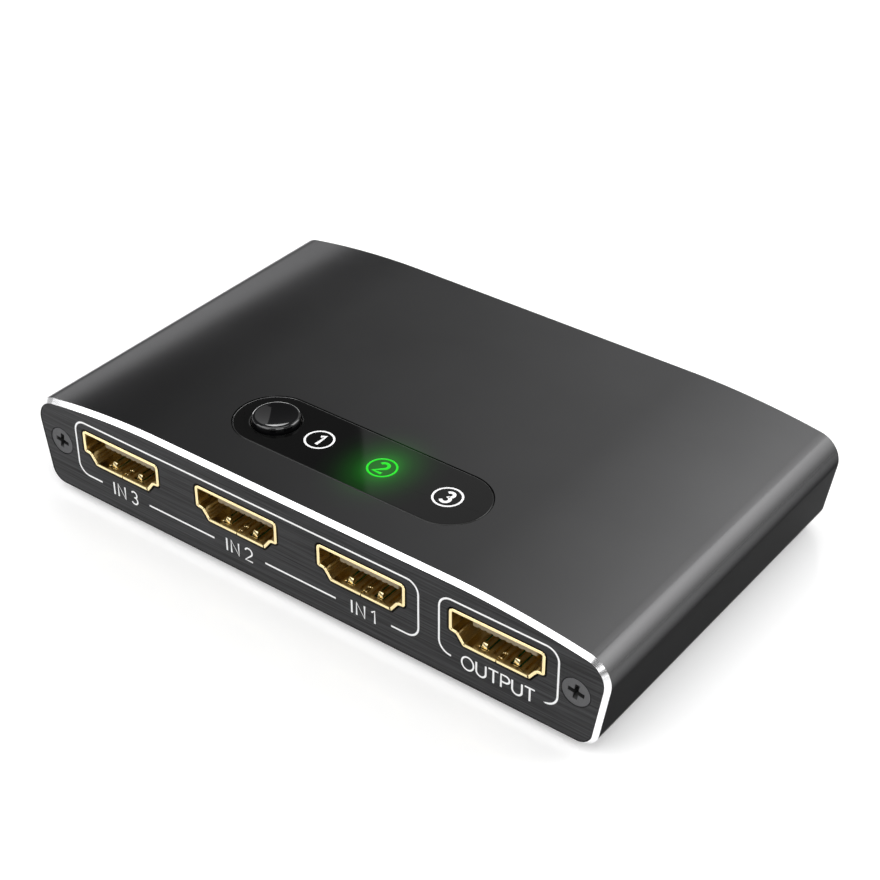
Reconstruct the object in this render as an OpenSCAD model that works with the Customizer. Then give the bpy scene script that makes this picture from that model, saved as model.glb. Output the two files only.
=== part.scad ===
// Three-input video switch box. An extruded aluminium sleeve is closed by two flush end plates.
// A circuit board slides in slots along the sleeve and carries the port row at the front.
// A select button and three lit numbers sit in a pill-shaped panel on top.
// X runs along the port row, Y from front to back and Z up. The floor is Z = 0.

/* [Sleeve] */
// Length of the box from its front edge to its rear edge
case_len = 61; // [56:0.5:90]
// Height of the sleeve without the feet
case_h = 16.9; // [16.2:0.1:24]
// Width of the sleeve beyond the port row, on each side
side_margin = 9.35; // [8.6:0.05:16]
// Wall of the sleeve
wall = 1.7; // [1.5:0.05:2]
// Width of the flat middle of the top
crown_flat = 50; // [44:1:60]
// Radius of the top where it falls away to the sides
crown_r = 130; // [90:1:220]
// Radius of the shoulders
shoulder_r = 3; // [2.4:0.1:4]
// Radius of the bottom edges
base_r = 3; // [2.4:0.1:4]
// Lean of the sides, which come in towards the bottom, in degrees
side_lean = 9; // [4:0.5:12]
// Bright chamfer round both ends
edge_chamfer = 0.7; // [0.3:0.05:0.85]
// Height of the rubber feet
foot_h = 1; // [0.6:0.1:3]
// Diameter of the rubber feet
foot_d = 8; // [6:0.5:12]

/* [End plates] */
// Thickness of the front and rear plates
plate_t = 1.5; // [1.4:0.1:2.4]
// Gap between a plate and the sleeve's lip
plate_gap = 0.05; // [0.03:0.01:0.15]
// Distance of the screws from the widest point of the sides
screw_inset = 4.7; // [4.6:0.1:5.4]
// Height of the screws above the sleeve's underside
screw_rise = 8.4; // [7.6:0.1:9.4]
// Diameter of the screw heads
screw_head_d = 4.3; // [3.8:0.1:4.6]
// Diameter of the screw shanks
screw_d = 2.2; // [1.8:0.1:2.4]
// Length of the screws under the plate's face
screw_len = 8; // [6:0.5:12]

/* [Video ports] */
// Distance between neighbouring ports
port_pitch = 22.1; // [18:0.1:28]
// Outer width of a port shell
port_w = 15; // [14.6:0.1:16]
// Outer height of a port shell
port_h = 5.45; // [5.2:0.05:6]
// Sheet thickness of a port shell
port_wall = 0.5; // [0.3:0.05:0.6]
// Length of a port shell
port_len = 10.3; // [9.6:0.1:10.6]
// Height of the port centres above the sleeve's underside
port_rise = 9.55; // [9:0.05:10.2]
// Thickness of a port tongue
tongue_t = 1.3; // [1.1:0.05:1.6]
// Distance of the tongue behind the port mouth
tongue_setback = 1.9; // [1:0.1:2.5]

/* [Top panel and button] */
// Length of the pill-shaped panel
panel_l = 43; // [40:0.5:50]
// Width of the pill-shaped panel
panel_w = 12.2; // [11:0.1:14]
// Thickness of the panel
panel_t = 0.7; // [0.4:0.05:0.8]
// Clear distance of the lights under the panel from the ports' solder tails
panel_setback = 0.32; // [0.25:0.01:2.5]
// Diameter of the button
button_d = 7; // [5.5:0.1:8]
// Height of the button's rim above the panel
button_rise = 1; // [0.8:0.05:2]
// Travel of the button
button_travel = 0.4; // [0.2:0.05:0.4]
// Distance of the button's axis from the panel's left end
button_inset = 6.4; // [6:0.1:7.2]
// Distance of the first number from the button's axis
mark_inset = 7.93; // [7.45:0.05:10]
// Distance between neighbouring numbers
mark_step = 11.17; // [10.6:0.05:12]

/* [Board] */
// Thickness of the circuit board
board_t = 1.6; // [1:0.1:2]
// Gap between the board and its slots
slot_gap = 0.06; // [0.03:0.01:0.2]
// Width of the tact switch
switch_w = 4.5; // [4:0.1:4.8]
// Width of the power socket
power_w = 8.94; // [8:0.02:10]
// Height of the power socket
power_h = 3.26; // [3:0.02:4]
// Length of the power socket
power_len = 7.3; // [6:0.1:9]
// Side of the square switching chip
chip_w = 10; // [8:0.5:12]

/* [Hidden] */
PORTS = ["in3", "in2", "in1", "out"];

$fn = 48;
// Small overlap of a cut past the face that it opens
cut = 0.2;
// Thickness of the slice that starts a chamfer
slice = 0.01;
// Points along each round stretch of an outline
arc_steps = 10;

// Sleeve section
port_count = len(PORTS);
case_w = (port_count - 1) * port_pitch + port_w + 2 * side_margin;
front_y = -case_len / 2;
back_y = case_len / 2;
base_z = foot_h;
top_z = base_z + case_h;
ceiling_z = top_z - wall;
crown_c = [crown_flat / 2, top_z - crown_r];
shoulder_x = case_w / 2 - shoulder_r;
shoulder_c = [shoulder_x, crown_c.y + sqrt(pow(crown_r - shoulder_r, 2) - pow(shoulder_x - crown_c.x, 2))];
crown_end = atan2(shoulder_c.y - crown_c.y, shoulder_c.x - crown_c.x);
base_c_z = base_z + base_r;
side_reach = shoulder_c.x * cos(side_lean) - shoulder_c.y * sin(side_lean) + shoulder_r - base_r;
base_c = [(side_reach + base_c_z * sin(side_lean)) / cos(side_lean), base_c_z];
lip_land = 0.05;
lip_w = edge_chamfer + lip_land;
foot_margin = 1.5;
foot_x = base_c.x - foot_d / 2 - foot_margin;
foot_y = back_y - foot_d / 2 - 3 * foot_margin;
foot_bevel = 0.25;

// Screws and the channels that take them
screw_x = case_w / 2 - screw_inset;
screw_z = base_z + screw_rise;
screw_clear = 0.05;
screw_sink = 0.05;
bore_d = screw_d + 2 * screw_clear;
boss_wall = 1.2;
boss_r = bore_d / 2 + boss_wall;
cross_w = 0.65;
cross_l = 2.6;
cross_deep = 0.8;
point_len = 1;

// Board and its slots
port_z = base_z + port_rise;
seat_gap = 0.05;
board_top = port_z - port_h / 2 - seat_gap;
board_bottom = board_top - board_t;
board_side_gap = 0.25;
board_half = screw_x - boss_r - board_side_gap;
board_end_gap = 0.3;
board_front = front_y + plate_t + board_end_gap;
board_back = back_y - plate_t - board_end_gap;
rail_grip = 1;
rail_t = 1;
rail_x = board_half - rail_grip;

// Video ports, with heights measured from the port's middle
side_h = 3.75;
ledge_w = 0.9;
ledge_drop = 0.15;
foot_inset = 2.29;
port_corner_r = 0.7;
port_bend_r = 0.45;
cutout_gap = 0.25;
mouth = [
    [port_w / 2, port_h / 2, port_corner_r],
    [-port_w / 2, port_h / 2, port_corner_r],
    [-port_w / 2, port_h / 2 - side_h, port_bend_r],
    [-port_w / 2 + ledge_w, port_h / 2 - side_h - ledge_drop, port_bend_r],
    [-port_w / 2 + foot_inset, -port_h / 2, port_bend_r],
    [port_w / 2 - foot_inset, -port_h / 2, port_bend_r],
    [port_w / 2 - ledge_w, port_h / 2 - side_h - ledge_drop, port_bend_r],
    [port_w / 2, port_h / 2 - side_h, port_bend_r]
];
finger_x = 2.53;
finger_w = 1;
finger_slot = 0.25;
finger_start = 0.75;
finger_len = 4.2;
bump_w = 0.7;
bump_l = 0.65;
bump_h = 0.4;
bump_setback = 0.2;
seam_gap = 0.1;
seam_tab = [[-slice, 0.8, 0], [0.55, 0.6, 0], [0.55, 1.9, 0], [-slice, 1.7, 0]];
leg_l = 1.8;
leg_t = port_wall;
leg_front = 3;
leg_rear = 8;
leg_past = 0.4;
leg_gap = 0.15;
insulator_gap = 0.05;
core_len = 3.8;
tongue_w = 10.1;
tongue_rise = 0.2;
tongue_nose = 0.2;
groove_w = 0.45;
contact_w = 0.35;
contact_t = 0.15;
contact_gap = 0.03;
contact_pitch = 1;
contact_start = 0.7;
top_contacts = 10;
bottom_contacts = 9;
tail_len = 0.6;
shell_back = front_y + port_len;

// Panel, button and tact switch
panel_clear = 0.08;
tape_t = 0.1;
tape_inset = 0.3;
recess = panel_t + tape_t;
recess_z = top_z - recess;
button_x = -panel_l / 2 + button_inset;
button_gap = 0.15;
button_bevel = 0.35;
button_dome = 0.2;
flange_w = 1;
flange_t = 0.8;
flange_top = ceiling_z - 0.1;
flange_bottom = flange_top - flange_t;
stem_d = 3;
press_gap = 0.05;
switch_floor = 0.5;
pocket_d = switch_w - 1;
dome_rise = 0.3;
dome_t = 0.12;
dome_d = pocket_d - 0.2;
plunger_flange_t = 0.45;
plunger_d = 2.2;
press_room = 0.6;
plunger_rise = button_travel + press_room;
plunger_gap = 0.1;
press_spare = 0.15;
cover_t = 0.25;
terminal_t = 0.15;
terminal_w = 0.7;
terminal_foot = 0.8;
terminal_inset = 0.75;
dome_top = switch_floor + dome_rise + dome_t;
switch_base_h = dome_top + press_spare + button_travel + plunger_flange_t + plunger_gap;
switch_bottom = board_top + seat_gap;
switch_top = switch_bottom + switch_base_h;
cover_bottom = switch_top + 2 * slice;
plunger_flange_top = cover_bottom - plunger_gap;
plunger_top = cover_bottom + cover_t + plunger_rise;
stem_bottom = plunger_top + press_gap;

// Lights and the receiver eye
mark_count = port_count - 1;
marks = [for (i = [0:mark_count - 1]) button_x + mark_inset + i * mark_step];
guide_d = 4;
guide_gap = 0.1;
tube_wall = 0.5;
tube_d = guide_d + 2 * guide_gap + 2 * tube_wall;
panel_y = shell_back + contact_gap + tail_len + panel_setback + tube_d / 2;
window_d = guide_d + 4 * guide_gap;
bar_w = 3;
bar_t = 0.8;
led_l = 1.6;
led_w = 0.8;
led_base_t = 0.25;
led_lens_l = 1.1;
led_lens_t = 0.35;
led_top = board_top + led_base_t + led_lens_t;
led_clear = 0.3;
eye_x = (marks[0] + marks[1]) / 2;
eye_l = mark_step - tube_d - 1;
eye_w = 4;
eye_t = 2.2;
eye_lens_d = 3.2;
eye_window_d = 3.6;
eye_under = 0.3;
eye_lens_r = eye_lens_d / 2;
eye_lens_rise = 1.1;
eye_top = ceiling_z - eye_under - eye_lens_rise;
eye_leg_d = 0.5;
eye_leg_pitch = 1.27;
eye_leg_past = 0.8;

// Power socket
power_wall = 0.3;
power_gap = 0.2;
power_z = board_top + seat_gap + power_h / 2;
power_tongue_w = power_w - 2.3;
power_tongue_t = 0.7;
power_core = 2.4;
power_setback = 0.8;
power_pitch = 0.8;
power_count = 6;
power_contact_w = 0.4;
power_contact_t = 0.12;
power_leg_t = 0.24;
power_leg_l = 1.1;
power_leg_rear = 3.4;
power_leg_front = 6;
power_leg_angle = 28;
power_bend_r = (power_h - power_wall) / 2;
power_leg_x = (power_w - power_h) / 2 + power_bend_r * cos(power_leg_angle);
power_leg_top = power_z - power_bend_r * sin(power_leg_angle);

// Board parts
chip_h = 1.2;
lead_w = 0.25;
lead_t = 0.15;
lead_l = 1;
lead_pitch = 0.6;
control_l = 9.9;
control_w = 3.9;
control_h = 1.5;
control_pitch = 1.27;
reg_l = 6.5;
reg_w = 3.5;
reg_h = 1.6;
crystal_l = 3.2;
crystal_w = 2.5;
crystal_h = 0.8;
cap_d = 4;
cap_h = 5;
cap_base = 4.3;
cap_base_t = 0.6;
surge_l = 2.5;
surge_w = 1;
surge_h = 0.5;
resistor_l = 1.6;
resistor_w = 0.8;
resistor_h = 0.45;
resistor_count = 8;
resistor_pitch = 2;
part_gap = 2.2;
chip_x = 14;
chip_y = panel_y + tube_d / 2 + part_gap + lead_l + chip_w / 2;
control_x = -16;
reg_x = -32;

// Points on an arc about c, from angle a to angle b, in n steps
function arc(c, r, a, b, n, first = 0) =
    [for (i = [first:n]) c + r * [cos(a + (b - a) * i / n), sin(a + (b - a) * i / n)]];

function mirrored(points) = [for (i = [len(points) - 1:-1:0]) [-points[i].x, points[i].y]];

// Right half of the sleeve's outline, drawn in by d all round
function half_case(d) = concat(
    arc(crown_c, crown_r - d, 90, crown_end, arc_steps),
    arc(shoulder_c, shoulder_r - d, crown_end, -side_lean, arc_steps, 1),
    arc(base_c, base_r - d, -side_lean, -90, arc_steps)
);
function case_outline(d) = concat(half_case(d), mirrored(half_case(d)));

function unit(v) = v / norm(v);
function flat(p) = [p.x, p.y];
function outward(a, b) = unit([b.y - a.y, a.x - b.x]);
function bends(a, b, c) = sign(cross(b - a, c - b));

// A closed outline of [x, y, radius] corners, moved outwards by d, with its radii to match
function grown(p, d) = [for (i = [0:len(p) - 1])
    let (a = flat(p[(i + len(p) - 1) % len(p)]), b = flat(p[i]), c = flat(p[(i + 1) % len(p)]))
    let (n = outward(a, b), m = outward(b, c), q = b + d * (n + m) / (1 + n * m))
    [q.x, q.y, max(p[i].z + d * bends(a, b, c), 2 * slice)]];

// The same outline with each corner turned into an arc
function rounded(p, n = 4) = [for (i = [0:len(p) - 1])
    let (a = flat(p[(i + len(p) - 1) % len(p)]), b = flat(p[i]), c = flat(p[(i + 1) % len(p)]))
    let (u = unit(a - b), v = unit(c - b), half = acos(u * v) / 2, r = p[i].z)
    let (mid = b + unit(u + v) * r / sin(half), from = b + u * r / tan(half) - mid)
    let (start = atan2(from.y, from.x), sweep = (180 - 2 * half) * bends(a, b, c))
    each arc(mid, r, start, start + sweep, n)];

function pill(l, w) = concat(
    arc([(l - w) / 2, 0], w / 2, -90, 90, 2 * arc_steps),
    arc([-(l - w) / 2, 0], w / 2, 90, 270, 2 * arc_steps)
);
function port_x(i) = (i - (port_count - 1) / 2) * port_pitch;

// A flat outline in X and Z, pushed from y to y + l
module along_y(y, l) translate([0, y + l, 0]) rotate([90, 0, 0]) linear_extrude(l) children();

// A block by its middle in X and Y and its lowest face
module block(x, y, z, size) translate([x - size.x / 2, y - size.y / 2, z]) cube(size);

module rod(x, y, z, d, h) translate([x, y, z]) cylinder(d = d, h = h);

// Sleeve: section, lips and openings
module sleeve_section() {
    difference() {
        union() {
            difference() {
                polygon(case_outline(0));
                polygon(case_outline(wall));
            }
            intersection() {
                polygon(case_outline(wall / 2));
                for (side = [-1, 1]) channel_and_rails(side);
            }
        }
        for (side = [-1, 1]) translate([side * screw_x, screw_z]) circle(d = bore_d);
    }
}

module channel_and_rails(side) {
    reach = case_w / 2;
    translate([side * screw_x, screw_z]) circle(r = boss_r);
    translate([side * (screw_x + reach) / 2, screw_z]) square([reach - screw_x, boss_r], center = true);
    for (z = [board_bottom - slot_gap - rail_t, board_top + slot_gap])
        translate([side * (rail_x + reach) / 2, z + rail_t / 2])
            square([reach - rail_x, rail_t], center = true);
}

module sleeve_lip(y, facing) {
    outer_y = facing < 0 ? y : y + plate_t - slice;
    inner_y = facing < 0 ? y + edge_chamfer : y;
    difference() {
        hull() {
            along_y(outer_y, slice) polygon(case_outline(edge_chamfer));
            along_y(inner_y, plate_t - edge_chamfer) polygon(case_outline(0));
        }
        along_y(y - cut, plate_t + 2 * cut) polygon(case_outline(lip_w));
    }
}

module housing() {
    color("#1b1b1d") difference() {
        union() {
            along_y(front_y + plate_t, case_len - 2 * plate_t) sleeve_section();
            sleeve_lip(front_y, -1);
            sleeve_lip(back_y - plate_t, 1);
        }
        translate([0, panel_y, recess_z]) linear_extrude(recess + cut)
            polygon(pill(panel_l + 2 * panel_clear, panel_w + 2 * panel_clear));
        rod(button_x, panel_y, ceiling_z - cut, button_d + 2 * button_gap, wall + 2 * cut);
        for (x = marks) rod(x, panel_y, ceiling_z - cut, window_d, wall + 2 * cut);
        rod(eye_x, panel_y, ceiling_z - cut, eye_window_d, wall + 2 * cut);
    }
}

// End plates and screws
module plate_blank(y) {
    along_y(y, plate_t) polygon(case_outline(lip_w + plate_gap));
}

module countersinks(face_y, facing) {
    head_h = (screw_head_d - screw_d) / 2;
    for (side = [-1, 1]) translate([side * screw_x, face_y, screw_z]) rotate([facing * 90, 0, 0]) {
        translate([0, 0, -plate_t - cut]) cylinder(d = screw_d + 4 * screw_clear, h = plate_t + 2 * cut);
        translate([0, 0, -head_h - screw_sink])
            cylinder(d1 = screw_d + 2 * screw_clear, d2 = screw_head_d + 2 * screw_clear, h = head_h);
        translate([0, 0, -screw_sink]) cylinder(d = screw_head_d + 2 * screw_clear, h = screw_sink + cut);
    }
}

module front_plate() {
    color("#38383a") difference() {
        plate_blank(front_y);
        for (i = [0:port_count - 1]) translate([port_x(i), 0, port_z])
            along_y(front_y - cut, plate_t + 2 * cut) polygon(rounded(grown(mouth, cutout_gap)));
        countersinks(front_y, 1);
    }
}

module rear_plate() {
    color("#38383a") difference() {
        plate_blank(back_y - plate_t);
        translate([0, 0, power_z]) along_y(back_y - plate_t - cut, plate_t + 2 * cut)
            polygon(pill(power_w + 2 * power_gap, power_h + 2 * power_gap));
        countersinks(back_y, -1);
    }
}

module screw() {
    head_h = (screw_head_d - screw_d) / 2;
    difference() {
        union() {
            translate([0, 0, -head_h]) cylinder(d1 = screw_d, d2 = screw_head_d, h = head_h);
            translate([0, 0, point_len - screw_len]) cylinder(d = screw_d, h = screw_len - point_len);
            translate([0, 0, -screw_len]) cylinder(d1 = screw_d / 3, d2 = screw_d, h = point_len);
        }
        for (turn = [0, 90]) rotate(turn)
            translate([-cross_l / 2, -cross_w / 2, -cross_deep]) cube([cross_l, cross_w, cross_deep + cut]);
    }
}

module screw_pair(face_y, facing) {
    for (side = [-1, 1]) translate([side * screw_x, face_y + facing * screw_sink, screw_z])
        rotate([facing * 90, 0, 0]) screw();
}

module front_screws() color("#77777a") screw_pair(front_y, 1);

module rear_screws() color("#77777a") screw_pair(back_y, -1);

module rubber_feet() {
    color("#202020") for (sx = [-1, 1], sy = [-1, 1]) translate([sx * foot_x, sy * foot_y, 0])
        rotate_extrude() polygon([
            [0, 0],
            [foot_d / 2 - foot_bevel, 0],
            [foot_d / 2, foot_bevel],
            [foot_d / 2, foot_h],
            [0, foot_h]
        ]);
}

// Top panel
module panel_holes(z, h) {
    rod(button_x, panel_y, z - cut, button_d + 2 * button_gap, h + 2 * cut);
}

module top_panel() {
    color("#0c0c0e") difference() {
        translate([0, panel_y, top_z - panel_t]) linear_extrude(panel_t) polygon(pill(panel_l, panel_w));
        panel_holes(top_z - panel_t, panel_t);
    }
}

module panel_tape() {
    color("#e8e4d8") difference() {
        translate([0, panel_y, recess_z])
            linear_extrude(tape_t) polygon(pill(panel_l - 2 * tape_inset, panel_w - 2 * tape_inset));
        panel_holes(recess_z, tape_t);
        for (x = marks) rod(x, panel_y, recess_z - cut, window_d, tape_t + 2 * cut);
        rod(eye_x, panel_y, recess_z - cut, eye_window_d, tape_t + 2 * cut);
    }
}

// Button and tact switch
module select_button() {
    r = button_d / 2;
    rim_z = top_z + button_rise;
    bevel = min(button_bevel, r / 3);
    rim_r = r - bevel;
    dome_r = (rim_r * rim_r + button_dome * button_dome) / (2 * button_dome);
    dome_a = asin(rim_r / dome_r);
    color("#08080a") translate([button_x, panel_y, 0]) rotate_extrude() polygon(concat(
        [[0, stem_bottom], [stem_d / 2, stem_bottom], [stem_d / 2, flange_bottom]],
        [[r + flange_w, flange_bottom], [r + flange_w, flange_top], [r, flange_top]],
        [[r, rim_z - bevel]],
        arc([0, rim_z + button_dome - dome_r], dome_r, 90 - dome_a, 90, 5)
    ));
}

module switch_base() {
    color("#2a2a2c") difference() {
        block(button_x, panel_y, switch_bottom, [switch_w, switch_w, switch_base_h]);
        rod(button_x, panel_y, switch_bottom + switch_floor, pocket_d, switch_base_h);
    }
}

// Four bent legs against the left and right of the switch base, with feet on the board
module switch_terminals() {
    rise = switch_base_h / 2;
    reach = switch_w / 2 - terminal_inset;
    color("#b9bbc0") for (side = [-1, 1], turn = [0, 180])
        translate([button_x, panel_y, board_top]) rotate(turn)
            translate([switch_w / 2, side * reach, 0]) along_y(-terminal_w / 2, terminal_w) polygon([
                [0, 0],
                [terminal_foot, 0],
                [terminal_foot, terminal_t],
                [terminal_t, terminal_t],
                [terminal_t, rise],
                [0, rise]
            ]);
}

module switch_dome() {
    r = dome_d / 2;
    dome_r = (r * r + dome_rise * dome_rise) / (2 * dome_rise);
    a = asin(r / dome_r);
    low = switch_bottom + switch_floor + dome_rise - dome_r;
    color("#c9c2a8") translate([button_x, panel_y, low]) rotate_extrude()
        polygon(concat(arc([0, 0], dome_r, 90 - a, 90, 4), arc([0, 0], dome_r + dome_t, 90, 90 - a, 4)));
}

module switch_plunger() {
    color("#141416") translate([button_x, panel_y, 0]) {
        translate([0, 0, plunger_flange_top - plunger_flange_t])
            cylinder(d = pocket_d - 2 * plunger_gap, h = plunger_flange_t);
        translate([0, 0, plunger_flange_top - slice])
            cylinder(d = plunger_d, h = plunger_top - plunger_flange_top + slice);
    }
}

module switch_cover() {
    clip_w = switch_w / 3;
    clip_h = switch_base_h / 2;
    color("#b9bbc0") difference() {
        union() {
            block(button_x, panel_y, cover_bottom, [switch_w, switch_w, cover_t]);
            for (side = [-1, 1]) block(
                button_x + side * (switch_w / 2 + cover_t / 2 + plunger_gap / 2),
                panel_y,
                cover_bottom - clip_h,
                [cover_t, clip_w, clip_h + cover_t]
            );
            for (side = [-1, 1]) block(
                button_x + side * (switch_w / 2 + plunger_gap / 4),
                panel_y,
                cover_bottom,
                [cover_t, clip_w, cover_t]
            );
        }
        rod(button_x, panel_y, cover_bottom - cut, plunger_d + 2 * plunger_gap, cover_t + 2 * cut);
    }
}

// Lights and receiver eye
module light_shroud() {
    low = board_top + seat_gap;
    high = ceiling_z - 2 * seat_gap;
    bar_l = marks[mark_count - 1] - marks[0];
    color("#151517") difference() {
        union() {
            for (x = marks) rod(x, panel_y, low, tube_d, high - low);
            block((marks[0] + marks[mark_count - 1]) / 2, panel_y, low, [bar_l, bar_w, bar_t]);
        }
        for (x = marks) rod(x, panel_y, low - cut, guide_d + 2 * guide_gap, high - low + 2 * cut);
        block(eye_x, panel_y, low - cut, [2 * (eye_leg_pitch + eye_leg_d), 2 * eye_leg_d, bar_t + 2 * cut]);
    }
}

module light_guides() {
    low = led_top + led_clear;
    color("#dfeaf2") for (x = marks) rod(x, panel_y, low, guide_d, recess_z - seat_gap - low);
}

module indicator_leds() {
    color("#f0ead0") for (x = marks) {
        block(x, panel_y, board_top, [led_l, led_w, led_base_t]);
        block(x, panel_y, board_top + led_base_t, [led_lens_l, led_w, led_lens_t]);
    }
}

module ir_receiver() {
    lens_r = (eye_lens_r * eye_lens_r + eye_lens_rise * eye_lens_rise) / (2 * eye_lens_rise);
    lens_a = asin(min(1, eye_lens_r / lens_r));
    color("#0e0e12") {
        block(eye_x, panel_y, eye_top - eye_t, [eye_l, eye_w, eye_t]);
        translate([eye_x, panel_y, 0]) rotate_extrude() polygon(concat(
            [[0, eye_top - slice], [eye_lens_r, eye_top - slice]],
            arc([0, eye_top + eye_lens_rise - lens_r], lens_r, 90 - lens_a, 90, 5)
        ));
        for (i = [-1:1]) rod(
            eye_x + i * eye_leg_pitch,
            panel_y,
            board_bottom - eye_leg_past,
            eye_leg_d,
            eye_top - eye_t + slice - board_bottom + eye_leg_past
        );
    }
}

// Circuit board
module main_board() {
    color("#14502e") difference() {
        translate([-board_half, board_front, board_bottom])
            cube([2 * board_half, board_back - board_front, board_t]);
        for (i = [0:port_count - 1]) leg_places(i)
            block(0, 0, board_bottom - cut, [leg_t + 2 * leg_gap, leg_l + 2 * leg_gap, board_t + 2 * cut]);
        for (i = [-1:1]) translate([eye_x + i * eye_leg_pitch, panel_y, board_bottom - cut])
            cylinder(d = eye_leg_d + leg_gap, h = board_t + 2 * cut);
        power_leg_places() block(0, 0, board_bottom - cut,
            [power_leg_t + 2 * leg_gap, power_leg_l + 2 * leg_gap, board_t + 2 * cut]);
    }
}

module leg_places(i) {
    for (side = [-1, 1], y = [leg_front, leg_rear])
        translate([port_x(i) + side * (port_w - leg_t) / 2, front_y + y, 0]) children();
}

// Video ports
module port_shell(i) {
    leg_z = board_bottom - leg_past;
    color("#e3c878") {
        translate([port_x(i), 0, port_z]) difference() {
            along_y(front_y, port_len) polygon(rounded(mouth));
            along_y(front_y - cut, port_len + 2 * cut) polygon(rounded(grown(mouth, -port_wall)));
            for (side = [-1, 1], up = [-1, 1]) finger_slots(side, up);
            translate([0, front_y, -port_h / 2 - cut]) linear_extrude(port_wall + 2 * cut) seam();
        }
        for (side = [-1, 1]) translate([port_x(i), 0, port_z]) finger_bump(side);
        leg_places(i) block(0, 0, leg_z, [leg_t, leg_l, port_z + port_h / 2 - side_h / 2 - leg_z]);
    }
}

module finger_slots(side, up) {
    wall_z = up * (port_h - port_wall) / 2;
    for (edge = [-1, 1]) block(
        side * finger_x + edge * (finger_w + finger_slot) / 2,
        front_y + finger_start + finger_len / 2,
        wall_z - port_wall / 2 - cut,
        [finger_slot, finger_len, port_wall + 2 * cut]
    );
    block(
        side * finger_x,
        front_y + finger_start,
        wall_z - port_wall / 2 - cut,
        [finger_w + 2 * finger_slot, finger_slot, port_wall + 2 * cut]
    );
}

// Slit where the folded sheet meets in the floor of a port, with a dovetail that locks it
module seam() {
    difference() {
        union() {
            translate([0, -cut]) square([seam_gap, port_len + 2 * cut]);
            intersection() {
                polygon([for (p = grown(seam_tab, seam_gap)) flat(p)]);
                square([port_w / 2, port_len]);
            }
        }
        polygon([for (p = seam_tab) flat(p)]);
    }
}

// Sprung contact point at the tip of a finger in the floor of a port
module finger_bump(side) {
    front = front_y + finger_start + bump_setback;
    floor_z = -port_h / 2 + port_wall;
    translate([side * finger_x - bump_w / 2, 0, 0]) rotate([90, 0, 90]) linear_extrude(bump_w) polygon([
        [front, floor_z - slice],
        [front + bump_l, floor_z - slice],
        [front + bump_l, floor_z + bump_h],
        [front, floor_z]
    ]);
}

module port_insulator(i) {
    core_front = port_len - core_len;
    color("#2b2019") translate([port_x(i), front_y, port_z]) difference() {
        union() {
            along_y(core_front, core_len) polygon(rounded(grown(mouth, -port_wall - insulator_gap)));
            translate([-tongue_w / 2, 0, tongue_rise]) rotate([90, 0, 90]) linear_extrude(tongue_w)
                polygon([
                    [tongue_setback, tongue_nose - tongue_t / 2],
                    [tongue_setback + tongue_nose, -tongue_t / 2],
                    [core_front + slice, -tongue_t / 2],
                    [core_front + slice, tongue_t / 2],
                    [tongue_setback + tongue_nose, tongue_t / 2],
                    [tongue_setback, tongue_t / 2 - tongue_nose]
                ]);
        }
        for (up = [-1, 1], x = contact_row(up)) groove(x, up);
    }
}

function contact_row(up) =
    let (n = up > 0 ? top_contacts : bottom_contacts)
    [for (k = [0:n - 1]) (k - (n - 1) / 2) * contact_pitch];

module groove(x, up) {
    deep = contact_t + 2 * contact_gap;
    mid_z = tongue_rise + up * (tongue_t - contact_t) / 2;
    start = tongue_setback - cut;
    translate([x - groove_w / 2, start, mid_z - deep / 2]) cube([groove_w, port_len - start + cut, deep]);
}

module port_contacts(i) {
    start = tongue_setback + contact_start;
    rear = port_len + contact_gap;
    low = board_top - port_z;
    color("#d8b45a") translate([port_x(i), front_y, port_z]) for (up = [-1, 1], x = contact_row(up)) {
        top = tongue_rise + (up > 0 ? tongue_t / 2 : contact_t - tongue_t / 2);
        translate([x - contact_w / 2, 0, 0]) rotate([90, 0, 90]) linear_extrude(contact_w) polygon([
            [start, top],
            [rear + contact_t, top],
            [rear + contact_t, low + contact_t],
            [rear + tail_len, low + contact_t],
            [rear + tail_len, low],
            [rear, low],
            [rear, top - contact_t],
            [start, top - contact_t]
        ]);
    }
}

// Power socket at the rear
module power_shell() {
    leg_z = board_bottom - leg_past;
    color("#c4c6ca") {
        translate([0, 0, power_z]) difference() {
            along_y(back_y - power_len, power_len) polygon(pill(power_w, power_h));
            along_y(back_y - power_len - cut, power_len + 2 * cut)
                polygon(pill(power_w - 2 * power_wall, power_h - 2 * power_wall));
        }
        power_leg_places() block(0, 0, leg_z, [power_leg_t, power_leg_l, power_leg_top - leg_z]);
    }
}

module power_leg_places() {
    for (side = [-1, 1], y = [power_leg_rear, power_leg_front])
        translate([side * power_leg_x, back_y - y, 0]) children();
}

module power_insulator() {
    inner_w = power_w - 2 * power_wall - 2 * insulator_gap;
    inner_h = power_h - 2 * power_wall - 2 * insulator_gap;
    deep = power_contact_t + 2 * contact_gap;
    start = back_y - power_len;
    color("#1a1a1c") translate([0, 0, power_z]) difference() {
        union() {
            along_y(start, power_core) polygon(pill(inner_w, inner_h));
            along_y(start + power_core - slice, power_len - power_core - power_setback + slice)
                square([power_tongue_w, power_tongue_t], center = true);
        }
        for (k = [0:power_count - 1])
            translate([power_contact_x(k), 0, (power_tongue_t - power_contact_t) / 2])
                along_y(start - cut, power_len - power_setback - contact_start + contact_gap + cut)
                    square([power_contact_w + 2 * contact_gap, deep], center = true);
    }
}

function power_contact_x(k) = (k - (power_count - 1) / 2) * power_pitch;

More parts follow.
